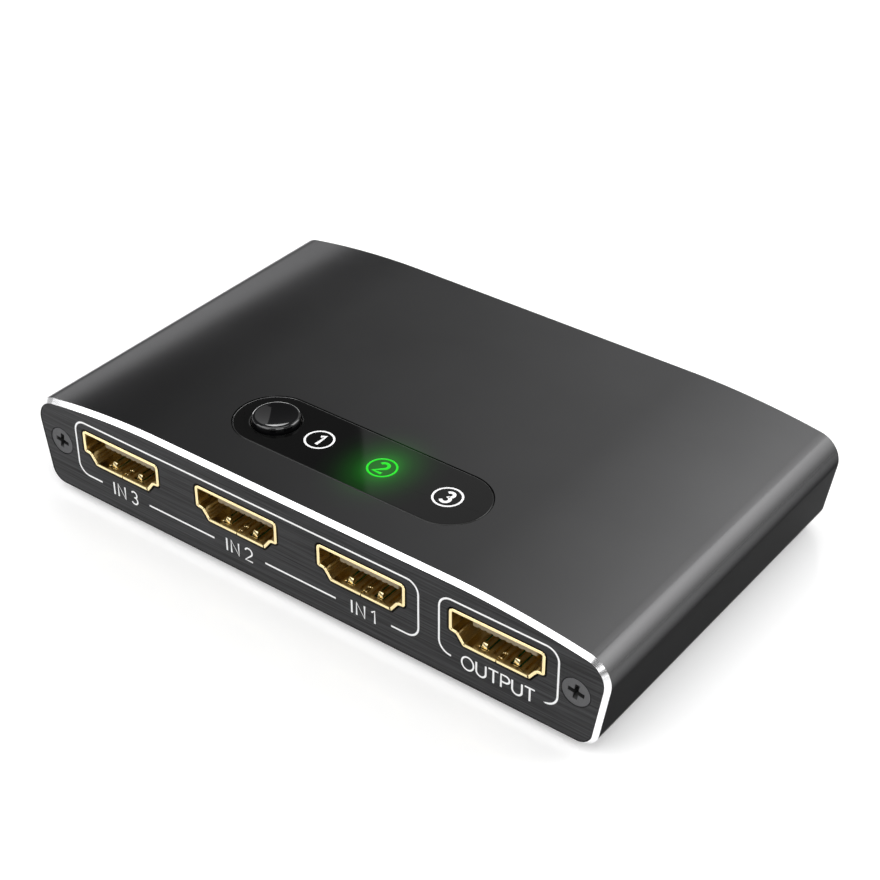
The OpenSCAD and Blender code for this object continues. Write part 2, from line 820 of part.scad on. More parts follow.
module power_contacts() {
    rear = back_y - power_len - contact_gap;
    finish = back_y - power_setback - contact_start;
    top = power_z + power_tongue_t / 2;
    color("#d8b45a") for (k = [0:power_count - 1])
        translate([power_contact_x(k) - power_contact_w / 2, 0, 0]) rotate([90, 0, 90])
            linear_extrude(power_contact_w) polygon([
                [finish, top],
                [rear - power_contact_t, top],
                [rear - power_contact_t, board_top + power_contact_t],
                [rear - tail_len, board_top + power_contact_t],
                [rear - tail_len, board_top],
                [rear, board_top],
                [rear, top - power_contact_t],
                [finish, top - power_contact_t]
            ]);
}

// Board parts
module lead_row(n, pitch, reach) {
    for (k = [0:n - 1]) block((k - (n - 1) / 2) * pitch, reach - lead_l / 2, 0, [lead_w, lead_l, lead_t]);
    for (k = [0:n - 1])
        block((k - (n - 1) / 2) * pitch, reach - lead_l + lead_t, 0, [lead_w, lead_t, 3 * lead_t]);
}

module switch_chip() {
    count = floor((chip_w - 2 * lead_pitch) / lead_pitch);
    color("#1d1d1f") translate([chip_x, chip_y, board_top]) {
        block(0, 0, lead_t, [chip_w, chip_w, chip_h]);
        for (turn = [0:90:270]) rotate(turn) lead_row(count, lead_pitch, chip_w / 2 + lead_l - 2 * lead_t);
    }
}

module control_chip() {
    count = floor((control_l - control_pitch / 2) / control_pitch) + 1;
    color("#1d1d1f") translate([control_x, chip_y, board_top]) {
        block(0, 0, lead_t, [control_l, control_w, control_h]);
        for (turn = [0, 180]) rotate(turn)
            lead_row(count, control_pitch, control_w / 2 + lead_l - 2 * lead_t);
    }
}

module regulator() {
    tab_l = reg_l / 2;
    color("#242426") translate([reg_x, chip_y, board_top]) {
        block(0, 0, lead_t, [reg_l, reg_w, reg_h]);
        lead_row(3, reg_l / 3, reg_w / 2 + lead_l - 2 * lead_t);
        block(0, -reg_w / 2 - lead_l / 2 + 2 * lead_t, 0, [tab_l, lead_l, 2 * lead_t]);
    }
}

module crystal() {
    x = (chip_x + control_x) / 2;
    half_h = crystal_h / 2;
    color("#c9cbd0") {
        block(x, chip_y, board_top, [crystal_l, crystal_w, half_h]);
        block(x, chip_y, board_top + half_h, [crystal_l - lead_w, crystal_w - lead_w, half_h]);
    }
}

module capacitors() {
    y = chip_y + chip_w / 2;
    color("#b4b7bc") for (x = [reg_x - cap_base, reg_x + cap_base]) {
        block(x, y, board_top, [cap_base, cap_base, cap_base_t]);
        rod(x, y, board_top + cap_base_t - slice, cap_d, cap_h - cap_base_t);
    }
}

module surge_chips() {
    y = shell_back + contact_gap + tail_len + surge_w;
    color("#1d1d1f") for (i = [0, port_count - 1])
        block(port_x(i), y, board_top, [surge_l, surge_w, surge_h]);
}

module resistors() {
    y = board_back - power_len;
    first = port_x(port_count - 1) - (resistor_count - 1) * resistor_pitch / 2;
    color("#2f2f33") for (k = [0:resistor_count - 1])
        block(first + k * resistor_pitch, y, board_top, [resistor_w, resistor_l, resistor_h]);
}

housing();
front_plate();
rear_plate();
front_screws();
rear_screws();
rubber_feet();
top_panel();
panel_tape();
select_button();
switch_base();
switch_terminals();
switch_dome();
switch_plunger();
switch_cover();
light_shroud();
light_guides();
indicator_leds();
ir_receiver();
main_board();
for (i = [0:port_count - 1]) {
    port_shell(i);
    port_insulator(i);
    port_contacts(i);
}
power_shell();
power_insulator();
power_contacts();
switch_chip();
control_chip();
regulator();
crystal();
capacitors();
surge_chips();
resistors();
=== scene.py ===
"""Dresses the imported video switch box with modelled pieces, finishes and a small white studio."""

import math

import bmesh
import bpy
from mathutils import Matrix, Vector


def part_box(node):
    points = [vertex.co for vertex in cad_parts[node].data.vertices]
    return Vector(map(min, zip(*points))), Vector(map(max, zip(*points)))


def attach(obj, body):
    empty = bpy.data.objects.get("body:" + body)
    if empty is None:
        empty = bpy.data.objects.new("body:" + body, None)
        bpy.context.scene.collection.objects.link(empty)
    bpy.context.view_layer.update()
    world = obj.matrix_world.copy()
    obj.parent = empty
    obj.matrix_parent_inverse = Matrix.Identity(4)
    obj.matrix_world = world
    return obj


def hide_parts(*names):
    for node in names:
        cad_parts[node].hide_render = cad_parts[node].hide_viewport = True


bl_info = {
    "name": "Video switch box",
    "version": (1, 0, 0),
    "blender": (4, 5, 0),
    "location": "View3D > Sidebar > Switch box",
    "description": "Models and finishes a three-input video switch box around its packed frame",
    "category": "Object",
}

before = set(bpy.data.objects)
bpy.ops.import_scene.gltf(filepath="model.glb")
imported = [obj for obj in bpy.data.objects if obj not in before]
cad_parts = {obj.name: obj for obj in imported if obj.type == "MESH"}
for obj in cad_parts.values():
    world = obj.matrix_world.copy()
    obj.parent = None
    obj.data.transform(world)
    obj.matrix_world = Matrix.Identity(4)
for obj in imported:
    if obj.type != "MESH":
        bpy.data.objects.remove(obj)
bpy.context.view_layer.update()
MM = 0.001
PORTS = ("in3", "in2", "in1", "out")
SIDES = (-1, 1)
NEAR = 0.01 * MM
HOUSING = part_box("housing")
FRONT_Y = HOUSING[0].y
BACK_Y = HOUSING[1].y
TOP_Z = HOUSING[1].z
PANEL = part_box("top_panel")
PANEL_Y = (PANEL[0].y + PANEL[1].y) / 2
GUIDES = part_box("light_guides")
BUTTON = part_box("select_button")
BUTTON_X = (BUTTON[0].x + BUTTON[1].x) / 2
GUIDE = GUIDES[1].y - GUIDES[0].y
# Shared groups: blasted grain, brush lines and a painted glow of green light
BLASTED, BRUSHED, PAINTED_GLOW = "Blasted grain", "Brush lines", "Lit glow"
METAL = {"Metallic": 1.0}
WORDS = {"in3": "IN 3", "in2": "IN 2", "in1": "IN 1", "out": "OUTPUT"}

# Gaps between the signs of the words, as parts of their height
INPUT_SIGN_GAP, OUTPUT_SIGN_GAP = 0.39, 0.2

# Soft lights: name, place and the point faced, width and height, all in metres, and power in watts
LAMPS = (
    ("graded wall", (-0.4, 0.62, 0.62), (-0.4, 0, 0.62), (1.2, 0.64), 7.24),
    ("panel card", (-0.164, 0.62, 0.62), (-0.164, 0, 0.62), (0.728, 0.64), 0.98),
    ("strip softbox", (0.418, 0.498, 0.42), (0, 0, 0.42), (0.525, 0.76), 4.83),
    ("low softbox", (-0.719, 0.542, 0.164), (0, 0, 0.164), (0.5, 0.328), 2.2),
    ("far softbox", (-0.6, 1.04, 0.2), (0, 0, 0.2), (0.6, 0.4), 1.2),
    ("side softbox", (-0.75, -0.2, 0.17), (0, 0, 0.02), (0.5, 0.3), 0.15),
    ("fill softbox", (0.62, -0.45, 0.5), (0, 0, 0), (0.5, 0.5), 2.3),
    ("front softbox", (-0.27, -0.51, 0.42), (0, 0, 0.01), (0.8, 0.5), 2.7),
    ("overhead softbox", (-0.1, -0.1, 1), (-0.1, -0.1, 0), (1, 1), 4.2),
)

# Lamps that aren't even: (place, brightness) from right to left, the same upwards, and their strength
GRADES = {
    "graded wall": (
        ((0, 0.95), (0.225, 0.667), (0.325, 0.473), (0.425, 0.327), (0.525, 0.2),
         (0.625, 0.12), (0.725, 0.047), (0.825, 0.007), (1, 0)),
        ((0, 1), (1, 0.5)),
        1.13,
    ),
    "strip softbox": (
        ((0, 1), (1, 1)),
        ((0, 0.25), (0.14, 0.46), (0.28, 0.675), (0.43, 0.84), (0.57, 0.995),
         (0.71, 0.98), (0.89, 0.83), (1, 0.67)),
        1,
    ),
}

# Camera: place in metres, azimuth, elevation and roll in degrees, lens and sensor in millimetres
CAMERA_PLACE = (0.13715, -0.18098, 0.16904)
CAMERA_TURN = (36.878, 34.729, 0.126)
LENS, SENSOR = 77.77, 36
FLOOR_SIZE = 6
WORLD_STRENGTH = 0.15


def length(name, text, default):
    """A size in millimetres that the user can change, kept in metres."""
    return bpy.props.FloatProperty(name=name, description=text, default=default * MM, unit="LENGTH")


def colour(name, text, default):
    """A linear colour that the user can change."""
    return bpy.props.FloatVectorProperty(name=name, description=text, default=default, subtype="COLOR")


class BoxSizes(bpy.types.PropertyGroup):
    """Sizes of the sleeve, the plates, the screws and the feet."""

    crown_flat: length("Crown flat", "Width of the flat middle of the top", 50)
    crown_radius: length("Crown radius", "Radius of the top where it falls away to the sides", 130)
    shoulder_radius: length("Shoulder radius", "Radius of the shoulders", 4)
    base_radius: length("Base radius", "Radius of the bottom edges", 3)
    side_lean: bpy.props.FloatProperty(
        name="Side lean",
        description="Angle by which the sides come in towards the bottom",
        default=math.radians(9),
        subtype="ANGLE",
    )
    wall: length("Wall", "Wall of the sleeve", 1.7)
    chamfer: length("Chamfer", "Bright chamfer round both ends of the sleeve", 0.64)
    lip: length("Lip", "Flat left between the chamfer and the plate", 0.05)
    plate_gap: length("Plate gap", "Gap between a plate and the sleeve", 0.05)
    plate_sink: length("Plate sink", "How far the plates sit behind the ends of the sleeve", 0.04)
    plate_edge: length("Plate edge", "Broken edge round a plate", 0.09)
    screw_head: length("Screw head", "Diameter of the screw heads", 4.3)
    screw_shank: length("Screw shank", "Diameter of the screw shanks", 2.2)
    screw_cross: length("Screw cross", "Length of the cross recess", 3.4)
    screw_cross_width: length("Cross width", "Width of the arms of the cross recess", 0.7)
    foot_edge: length("Foot edge", "Rounding of the feet", 0.3)


class PortSizes(bpy.types.PropertyGroup):
    """Sizes of the video ports and the power socket."""

    width: length("Width", "Outer width of a port shell", 15)
    height: length("Height", "Outer height of a port shell", 5.45)
    side: length("Side", "Height of the upright part of the sides", 3.75)
    ledge: length("Ledge", "Width of the short ledge under each side", 1.15)
    ledge_drop: length("Ledge drop", "Fall of the short ledge", 0.15)
    foot_inset: length("Foot inset", "How far the floor is drawn in from each side", 2.29)
    corner: length("Corner", "Radius of the upper corners", 0.7)
    bend: length("Bend", "Radius of the lower bends", 0.45)
    wall: length("Wall", "Sheet thickness of a port shell", 0.5)
    depth: length("Depth", "Length of a port shell", 10.3)
    clearance: length("Clearance", "Gap between a port shell and its cut-out", 0.25)
    lip: length("Lip", "Rounding of the mouth of a port shell", 0.13)
    finger_place: length("Finger place", "Distance of the sprung fingers from the middle", 2.53)
    finger_width: length("Finger width", "Width of a sprung finger", 1)
    finger_length: length("Finger length", "Length of a sprung finger", 4.2)
    finger_slot: length("Finger slot", "Width of the slots round a finger", 0.25)
    finger_start: length("Finger start", "Distance of the fingers behind the mouth", 0.75)
    bump: length("Bump", "Width of the contact point on a finger", 0.76)
    bump_rise: length("Bump rise", "Height of the contact point on a finger", 0.55)
    bump_slope: length("Bump slope", "Depth of the sloping front of a contact point", 0.34)
    tongue_width: length("Tongue width", "Width of the tongue", 10.1)
    tongue_height: length("Tongue height", "Thickness of the tongue", 1.3)
    tongue_rise: length("Tongue rise", "Height of the tongue's middle above the mouth's middle", 0.2)
    tongue_setback: length("Tongue setback", "Distance of the tongue behind the mouth", 1.9)
    tongue_nose: length("Tongue nose", "Broken edges of the tongue's front", 0.2)
    core: length("Core", "Length of the block that carries the tongue", 3.8)
    groove: length("Groove", "Width of the contact grooves in the tongue", 0.45)
    power_width: length("Power width", "Outer width of the power socket", 8.94)
    power_height: length("Power height", "Outer height of the power socket", 3.26)
    power_wall: length("Power wall", "Sheet thickness of the power socket", 0.3)


class TopSizes(bpy.types.PropertyGroup):
    """Sizes of the panel, the button and the lit numbers."""

    panel_gap: length("Panel gap", "Gap round the panel in its recess", 0.08)
    panel_edge: length("Panel edge", "Broken edge of the panel", 0.3)
    tape: length("Tape", "Thickness of the film under the panel", 0.1)
    button: length("Button", "Diameter of the button", 7)
    button_gap: length("Button gap", "Gap round the button", 0.15)
    button_rim: length("Button rim", "Distance of the button's rim below the frame's top", 0.2)
    button_dish: length("Button dish", "Fall of the button's face from rim to middle", 0.3)
    button_edge: length("Button edge", "Rounding of the button's rim", 0.35)
    ring: length("Ring", "Diameter of the rings round the numbers", 4.45)
    ring_line: length("Ring line", "Line width of the rings", 0.31)
    figure: length("Figure", "Height of the numbers", 2.3)
    figure_line: length("Figure line", "Line width of the numbers", 0.5)
    # Reach of the painted green glow that the sleeve and the panel give off round the lit number
    glow: length("Glow", "Reach of the glow round the lit number", 9)


class PrintSizes(bpy.types.PropertyGroup):
    """Sizes of the printed frames and words on the front plate."""

    line: length("Line", "Line width of the frames", 0.34)
    corner: length("Corner", "Radius of the frames' corners", 1.9)
    top: length("Top", "Height of the frames' upper lines above the floor", 14.66)
    bottom: length("Bottom", "Height of the frames' lower lines above the floor", 5.3)
    inputs_left: length("Inputs left", "Left line of the frame round the inputs", -42)
    inputs_right: length("Inputs right", "Right line of the frame round the inputs", 20.76)
    output_left: length("Output left", "Left line of the frame round the output", 24.12)
    output_right: length("Output right", "Right line of the frame round the output", 42.68)
    word: length("Word", "Height of the capitals", 2.15)
    word_line: length("Word line", "Line width of the words", 0.3)
    word_shift: length("Word shift", "Distance of a word to the right of its port's middle", 0.4)
    input_gap: length("Input gap", "Gap in the lower line for an input's word", 9.5)
    output_gap: length("Output gap", "Gap in the lower line for the output's word", 14.9)
    ink: length("Ink", "How far the print stands proud", 0.02)


class Finishes(bpy.types.PropertyGroup):
    """Main colours of the box."""

    sleeve: colour("Sleeve", "Satin black of the sleeve", (0.085, 0.085, 0.086))
    chamfer: colour("Chamfer", "Bare metal of the cut chamfer", (0.93, 0.93, 0.94))
    plate: colour("Plate", "Dark grey of the brushed plates", (0.023, 0.023, 0.024))
    gold: colour("Gold", "Pale gold of the port shells", (1.0, 0.83, 0.46))
    panel: colour("Panel", "Smoked black of the panel", (0.004, 0.004, 0.004))
    ink: colour("Ink", "White of the print", (0.94, 0.94, 0.94))
    lit: colour("Lit", "Green of the lit number", (0.014, 0.76, 0.017))
    floor: colour("Floor", "White of the studio floor", (0.92, 0.92, 0.92))


# Modelling tools
def alone(obj):
    """Select one object, make it the active one and return it."""
    bpy.ops.object.select_all(action="DESELECT")
    obj.select_set(True)
    bpy.context.view_layer.objects.active = obj
    return obj


def edit(obj):
    """Enter edit mode on one object with nothing selected."""
    alone(obj)
    bpy.ops.object.mode_set(mode="EDIT")
    bpy.ops.mesh.select_all(action="DESELECT")


def leave_edit():
    """Go back to object mode."""
    bpy.ops.object.mode_set(mode="OBJECT")


def pick(obj, kind, test):
    """In edit mode, select the vertices, edges or faces that pass a test, and nothing else."""
    bpy.ops.mesh.select_mode(type=kind)
    bpy.ops.mesh.select_all(action="DESELECT")
    mesh = bmesh.from_edit_mesh(obj.data)
    items = {"VERT": mesh.verts, "EDGE": mesh.edges, "FACE": mesh.faces}[kind]
    for item in items:
        if test(item):
            item.select_set(True)
    mesh.select_flush_mode()
    bmesh.update_edit_mesh(obj.data)


def on_level(axis, level):
    """A test for edges whose two ends lie on one level."""
    return lambda edge: all(abs(vertex.co[axis] - level) < NEAR for vertex in edge.verts)


def facing(axis, sign=0):
    """A test for faces that look along an axis, either way or one way."""
    def test(face):
        part = face.normal[axis]
        return abs(part) > 0.99 if sign == 0 else part * sign > 0.99
    return test


def close_up(obj):
    """Merge doubled points and turn every face outwards."""
    edit(obj)
    bpy.ops.mesh.select_all(action="SELECT")
    bpy.ops.mesh.remove_doubles(threshold=NEAR / 20)
    bpy.ops.mesh.normals_make_consistent(inside=False)
    leave_edit()
    return obj


def named(name):
    """Name the new object, put its place into its mesh and return it."""
    obj = bpy.context.object
    obj.name = name
    obj.data.name = name
    bpy.ops.object.transform_apply(location=True, rotation=True, scale=True)
    return obj


def corner_arc(before, corner, after, radius):
    """Tangent length and bevel profile that turn a corner into an arc of a radius."""
    turn = (corner - before).angle(after - corner)
    bulge = 1 - 0.5 / (1 + math.cos(turn / 2))
    return radius * math.tan(turn / 2), bulge * bulge


def outline(name, corners, plane="FRONT", segments=8):
    """A flat face from (u, v, radius) corners, each rounded by its own bevel, on the front or top plane."""
    bpy.ops.object.select_all(action="DESELECT")
    bpy.ops.mesh.primitive_circle_add(vertices=len(corners), fill_type="NGON")
    obj = named(name)
    places = [Vector((u, 0, v)) if plane == "FRONT" else Vector((u, v, 0)) for u, v, radius in corners]
    for vertex, place in zip(obj.data.vertices, places):
        vertex.co = place
    edit(obj)
    for index, (place, corner) in enumerate(zip(places, corners)):
        if corner[2] <= 0:
            continue
        after = places[(index + 1) % len(places)]
        reach, profile = corner_arc(places[index - 1], place, after, corner[2])
        pick(obj, "VERT", lambda vertex: (vertex.co - place).length < NEAR)
        bpy.ops.mesh.bevel(
            offset=reach,
            offset_type="OFFSET",
            segments=segments,
            profile=profile,
            affect="VERTICES",
            clamp_overlap=False,
        )
    leave_edit()
    return obj


def push(obj, start, reach):
    """Turn a flat outline into a solid that starts at a place and goes a reach further."""
    edit(obj)
    bpy.ops.mesh.select_all(action="SELECT")
    bpy.ops.transform.translate(value=start)
    bpy.ops.mesh.extrude_region_move(TRANSFORM_OT_translate={"value": reach})
    leave_edit()
    return close_up(obj)


def open_tube(obj, wall):
    """Open a solid pushed along Y into a tube with an even wall."""
    edit(obj)
    pick(obj, "FACE", facing(1))
    bpy.ops.mesh.inset(thickness=wall, use_even_offset=True)
    bpy.ops.mesh.bridge_edge_loops()
    leave_edit()
    return close_up(obj)


def turned(name, rings, sides=64):
    """A round solid about Z, drawn out of a disc through (radius, height) rings."""
    bpy.ops.object.select_all(action="DESELECT")
    first, height = rings[0]
    bpy.ops.mesh.primitive_circle_add(vertices=sides, radius=first, fill_type="NGON", location=(0, 0, height))
    obj = named(name)
    edit(obj)
    bpy.ops.mesh.select_all(action="SELECT")
    for (radius, level), (wide, low) in zip(rings[1:], rings[:-1]):
        bpy.ops.mesh.extrude_region_move(TRANSFORM_OT_translate={"value": (0, 0, level - low)})
        scale = radius / wide
        bpy.ops.transform.resize(value=(scale, scale, 1), center_override=(0, 0, level))
    leave_edit()
    return close_up(obj)


def block(name, low, high):
    """A box between two corners, as a start for a piece or a cut."""
    bpy.ops.object.select_all(action="DESELECT")
    middle = [(a + b) / 2 for a, b in zip(low, high)]
    bpy.ops.mesh.primitive_cube_add(size=1, location=middle)
    bpy.context.object.scale = [b - a for a, b in zip(low, high)]
    return named(name)


def join(name, pieces):
    """Join several objects into one."""
    bpy.ops.object.select_all(action="DESELECT")
    for piece in pieces:
        piece.select_set(True)
    bpy.context.view_layer.objects.active = pieces[0]
    if len(pieces) > 1:
        bpy.ops.object.join()
    pieces[0].name = name
    pieces[0].data.name = name
    return pieces[0]


def apply(obj, kind, **values):
    """Add a modifier with these values and apply it."""
    alone(obj)
    modifier = obj.modifiers.new(kind.title(), kind)
    for key, value in values.items():
        setattr(modifier, key, value)
    bpy.ops.object.modifier_apply(modifier=modifier.name)
    return obj


def carve(obj, cutter):
    """Cut one object out of another and delete the cutter."""
    apply(obj, "BOOLEAN", operation="DIFFERENCE", solver="EXACT", use_self=True, object=cutter)
    bpy.data.objects.remove(cutter)
    return obj


def soften(obj, width, segments=2, angle=40):
    """Round every edge sharper than an angle and shade the rest smooth."""
    apply(
        obj,
        "BEVEL",
        width=width,
        segments=segments,
        limit_method="ANGLE",
        angle_limit=math.radians(angle),
        use_clamp_overlap=False,
        miter_outer="MITER_ARC",
    )
    return smooth(obj)


def smooth(obj, angle=30):
    """Shade smooth, with edges sharper than an angle kept crisp."""
    alone(obj)
    bpy.ops.object.shade_smooth_by_angle(angle=math.radians(angle))
    return apply(obj, "WEIGHTED_NORMAL", keep_sharp=True)


def row(obj, count, pitch):
    """Repeat an object along X."""
    shift = (pitch, 0, 0)
    return apply(
        obj,
        "ARRAY",
        count=count,
        use_relative_offset=False,
        use_constant_offset=True,
        constant_offset_displace=shift,
    )


def drill(obj, x, radius, low, high, sides=64):
    """Drill an upright hole through an object, in line with the panel's middle."""
    bit = turned("drill", [(radius, low), (radius, high)], sides)
    bit.data.transform(Matrix.Translation((x, PANEL_Y, 0)))
    return carve(obj, bit)


def at_end(middle, face, way):
    """Turn a shape drawn along Z so that it goes in from an end of the box."""
    turn = Matrix.Rotation(math.radians(-90 * way), 4, "X")
    return Matrix.Translation((middle.x, face, middle.z)) @ turn


def moved_copy(obj, name, matrix):
    """A copy with its own mesh, moved by a matrix."""
    copy = obj.copy()
    copy.data = obj.data.copy()
    copy.name = name
    copy.data.name = name
    copy.data.transform(matrix)
    bpy.context.collection.objects.link(copy)
    return copy


def dress(obj, name):
    """Give an object one finish in place of what it has."""
    obj.data.materials.clear()
    obj.data.materials.append(finish(name))


def paint(obj, main, other, test):
    """Give a piece its main finish, and another one to the faces that pass a test."""
    for name in (main, other):
        obj.data.materials.append(finish(name))
    for face in obj.data.polygons:
        if test(face):
            face.material_index = 1


def place_piece(obj, slot, nodes=(), body="box"):
    """Attach a piece to its body, hide the nodes that it stands for and, if it has no finish, give it the
    finish named by its slot.
    """
    if not obj.data.materials:
        dress(obj, slot)
    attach(obj, body)
    if nodes:
        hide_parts(*nodes)
    return obj


# Shared shader groups
def wire(tree, *pairs):
    """Link pairs of sockets."""
    for start, end in pairs:
        tree.links.new(start, end)


def settle(node, **values):
    """Set a node's sockets by name, with _ for each space."""
    for label, value in values.items():
        node.inputs[label.replace("_", " ")].default_value = value
    return node


def new_group(name, inputs, outputs):
    """A shader node group with named value sockets, and its input and output nodes."""
    group = bpy.data.node_groups.new(name, "ShaderNodeTree")
    for label in inputs:
        group.interface.new_socket(label, in_out="INPUT", socket_type="NodeSocketFloat")
    for label in outputs:
        group.interface.new_socket(label, in_out="OUTPUT", socket_type="NodeSocketFloat")
    return group, group.nodes.new("NodeGroupInput"), group.nodes.new("NodeGroupOutput")


def mapped(tree, scale, shift):
    """Object coordinates, scaled in each direction and then shifted."""
    place = tree.nodes.new("ShaderNodeTexCoord")
    mapping = settle(tree.nodes.new("ShaderNodeMapping"), Scale=scale, Location=shift)
    wire(tree, (place.outputs["Object"], mapping.inputs["Vector"]))
    return mapping.outputs["Vector"]


def stretched_noise(tree, scale, detail):
    """Noise stretched by a scale in each direction."""
    noise = settle(tree.nodes.new("ShaderNodeTexNoise"), Scale=1, Detail=detail)
    wire(tree, (mapped(tree, scale, (0, 0, 0)), noise.inputs["Vector"]))
    return noise.outputs["Fac"]


def nearness(tree, scale, shift=(0, 0, 0)):
    """A value that falls evenly from 1 in the middle to 0 where the scaled distance is 1."""
    ball = tree.nodes.new("ShaderNodeTexGradient")
    ball.gradient_type = "SPHERICAL"
    wire(tree, (mapped(tree, scale, shift), ball.inputs["Vector"]))
    return ball.outputs["Fac"]


def maths(tree, operation, first, second):
    """A math node on two sockets or numbers."""
    node = tree.nodes.new("ShaderNodeMath")
    node.operation = operation
    for socket, value in zip(node.inputs, (first, second)):
        if isinstance(value, (int, float)):
            socket.default_value = value
        else:
            wire(tree, (value, socket))
    return node.outputs["Value"]


def ramp(tree, value, steps):
    """Colours along a value from 0 to 1, given as (place, colour) steps from the first to the last."""
    node = tree.nodes.new("ShaderNodeValToRGB")
    stops = node.color_ramp.elements
    stops[0].position, stops[0].color = steps[0][0], (*steps[0][1], 1)
    stops[1].position, stops[1].color = steps[-1][0], (*steps[-1][1], 1)
    for place, tint in steps[1:-1]:
        stops.new(place).color = (*tint, 1)
    wire(tree, (value, node.inputs["Fac"]))
    return node.outputs["Color"]


def grain_group(name, broad, fine, share, whole):
    """Grain of a broad and a fine noise, with relief from the whole of it or from the fine noise."""
    group, given, result = new_group(name, ("Rough low", "Rough high"), ("Roughness", "Height", "Shade"))
    broad, fine = (stretched_noise(group, scale, detail) for scale, detail in (broad, fine))
    parts = (maths(group, "MULTIPLY", broad, share), maths(group, "MULTIPLY", fine, 1 - share))
    blend = maths(group, "ADD", *parts)
    rough = group.nodes.new("ShaderNodeMapRange")
    wire(
        group,
        (blend, rough.inputs["Value"]),
        (given.outputs["Rough low"], rough.inputs["To Min"]),
        (given.outputs["Rough high"], rough.inputs["To Max"]),
        (rough.outputs["Result"], result.inputs["Roughness"]),
        (blend if whole else fine, result.inputs["Height"]),
        (blend, result.inputs["Shade"]),
    )
    return group


def blasted_group():
    """Fine even grain of a blasted or moulded surface, with faint handling marks."""
    return grain_group(BLASTED, ((55, 55, 55), 3), ((5200, 5200, 5200), 2), 0.7, False)


def brushed_group():
    """Long and short brush lines along X."""
    return grain_group(BRUSHED, ((38, 400, 3000), 2), ((150, 1500, 9000), 1), 0.62, True)


def painted_glow_group():
    """Soft painted glow round the lit number, longer across the panel than along it, fading to nothing."""
    group, _, result = new_group(PAINTED_GLOW, (), ("Glow",))
    along = 1 / bpy.context.scene.switch_box_top.glow
    across = 0.8 * along
    shift = (-mark_places()[1] * along, -PANEL_Y * across, 0)
    wire(group, (nearness(group, (along, across, 0), shift), result.inputs["Glow"]))
    return group


def shared_group(tree, name, **values):
    """A node of a shared group, which is built the first time that it is asked for."""
    makers = {BLASTED: blasted_group, BRUSHED: brushed_group, PAINTED_GLOW: painted_glow_group}
    node = tree.nodes.new("ShaderNodeGroup")
    node.node_tree = bpy.data.node_groups.get(name) or makers[name]()
    return settle(node, **values)


# Finishes
def grained(name, grain, tones, rough, relief, sockets):
    """A finish whose colour, roughness and relief come from a shared group."""
    material = bpy.data.materials.new(name)
    material.use_nodes = True
    tree = material.node_tree
    surface = tree.nodes["Principled BSDF"]
    for label, value in sockets.items():
        surface.inputs[label].default_value = value
    node = shared_group(tree, grain, Rough_low=rough[0], Rough_high=rough[1])
    tint = ramp(tree, node.outputs["Shade"], ((0.3, tones[0]), (0.7, tones[1])))
    bump = settle(tree.nodes.new("ShaderNodeBump"), Strength=relief[0], Distance=relief[1] * MM)
    wire(
        tree,
        (tint, surface.inputs["Base Color"]),
        (node.outputs["Roughness"], surface.inputs["Roughness"]),
        (node.outputs["Height"], bump.inputs["Height"]),
        (bump.outputs["Normal"], surface.inputs["Normal"]),
    )
    return material


def add_painted_glow(material):
    """Paint the green glow of the lit number into a finish's emission, as a painted pool of light round it.
    """
    tree = material.node_tree
    surface = tree.nodes["Principled BSDF"]
    glow = shared_group(tree, PAINTED_GLOW)
    # Painted light: green emission that fades outwards from the lit number
    greens = ((0.2, 0.003), (0.33, 0.0095), (0.44, 0.021), (0.56, 0.038), (0.67, 0.07), (0.76, 0.12))
    steps = [(place, (green * 0.03, green, green * 0.035)) for place, green in greens]
    steps = [(0, (0, 0, 0)), *steps, (1, (0.005, 0.17, 0.006))]
    wire(tree, (ramp(tree, glow.outputs["Glow"], steps), surface.inputs["Emission Color"]))
    surface.inputs["Emission Strength"].default_value = 1.0
    return material


def tones(tint, dark, light):
    """A darker and a lighter tone of a colour."""
    return [tuple(part * factor for part in tint) for factor in (dark, light)]


def greys(dark, light):
    """A darker and a lighter grey."""
    return (dark,) * 3, (light,) * 3


def moulded(dark, light, rough=(0.45, 0.6)):
    """Recipe of a moulded plastic with a fine grain."""
    return BLASTED, (dark, light), rough, (0.2, 0.02), {}


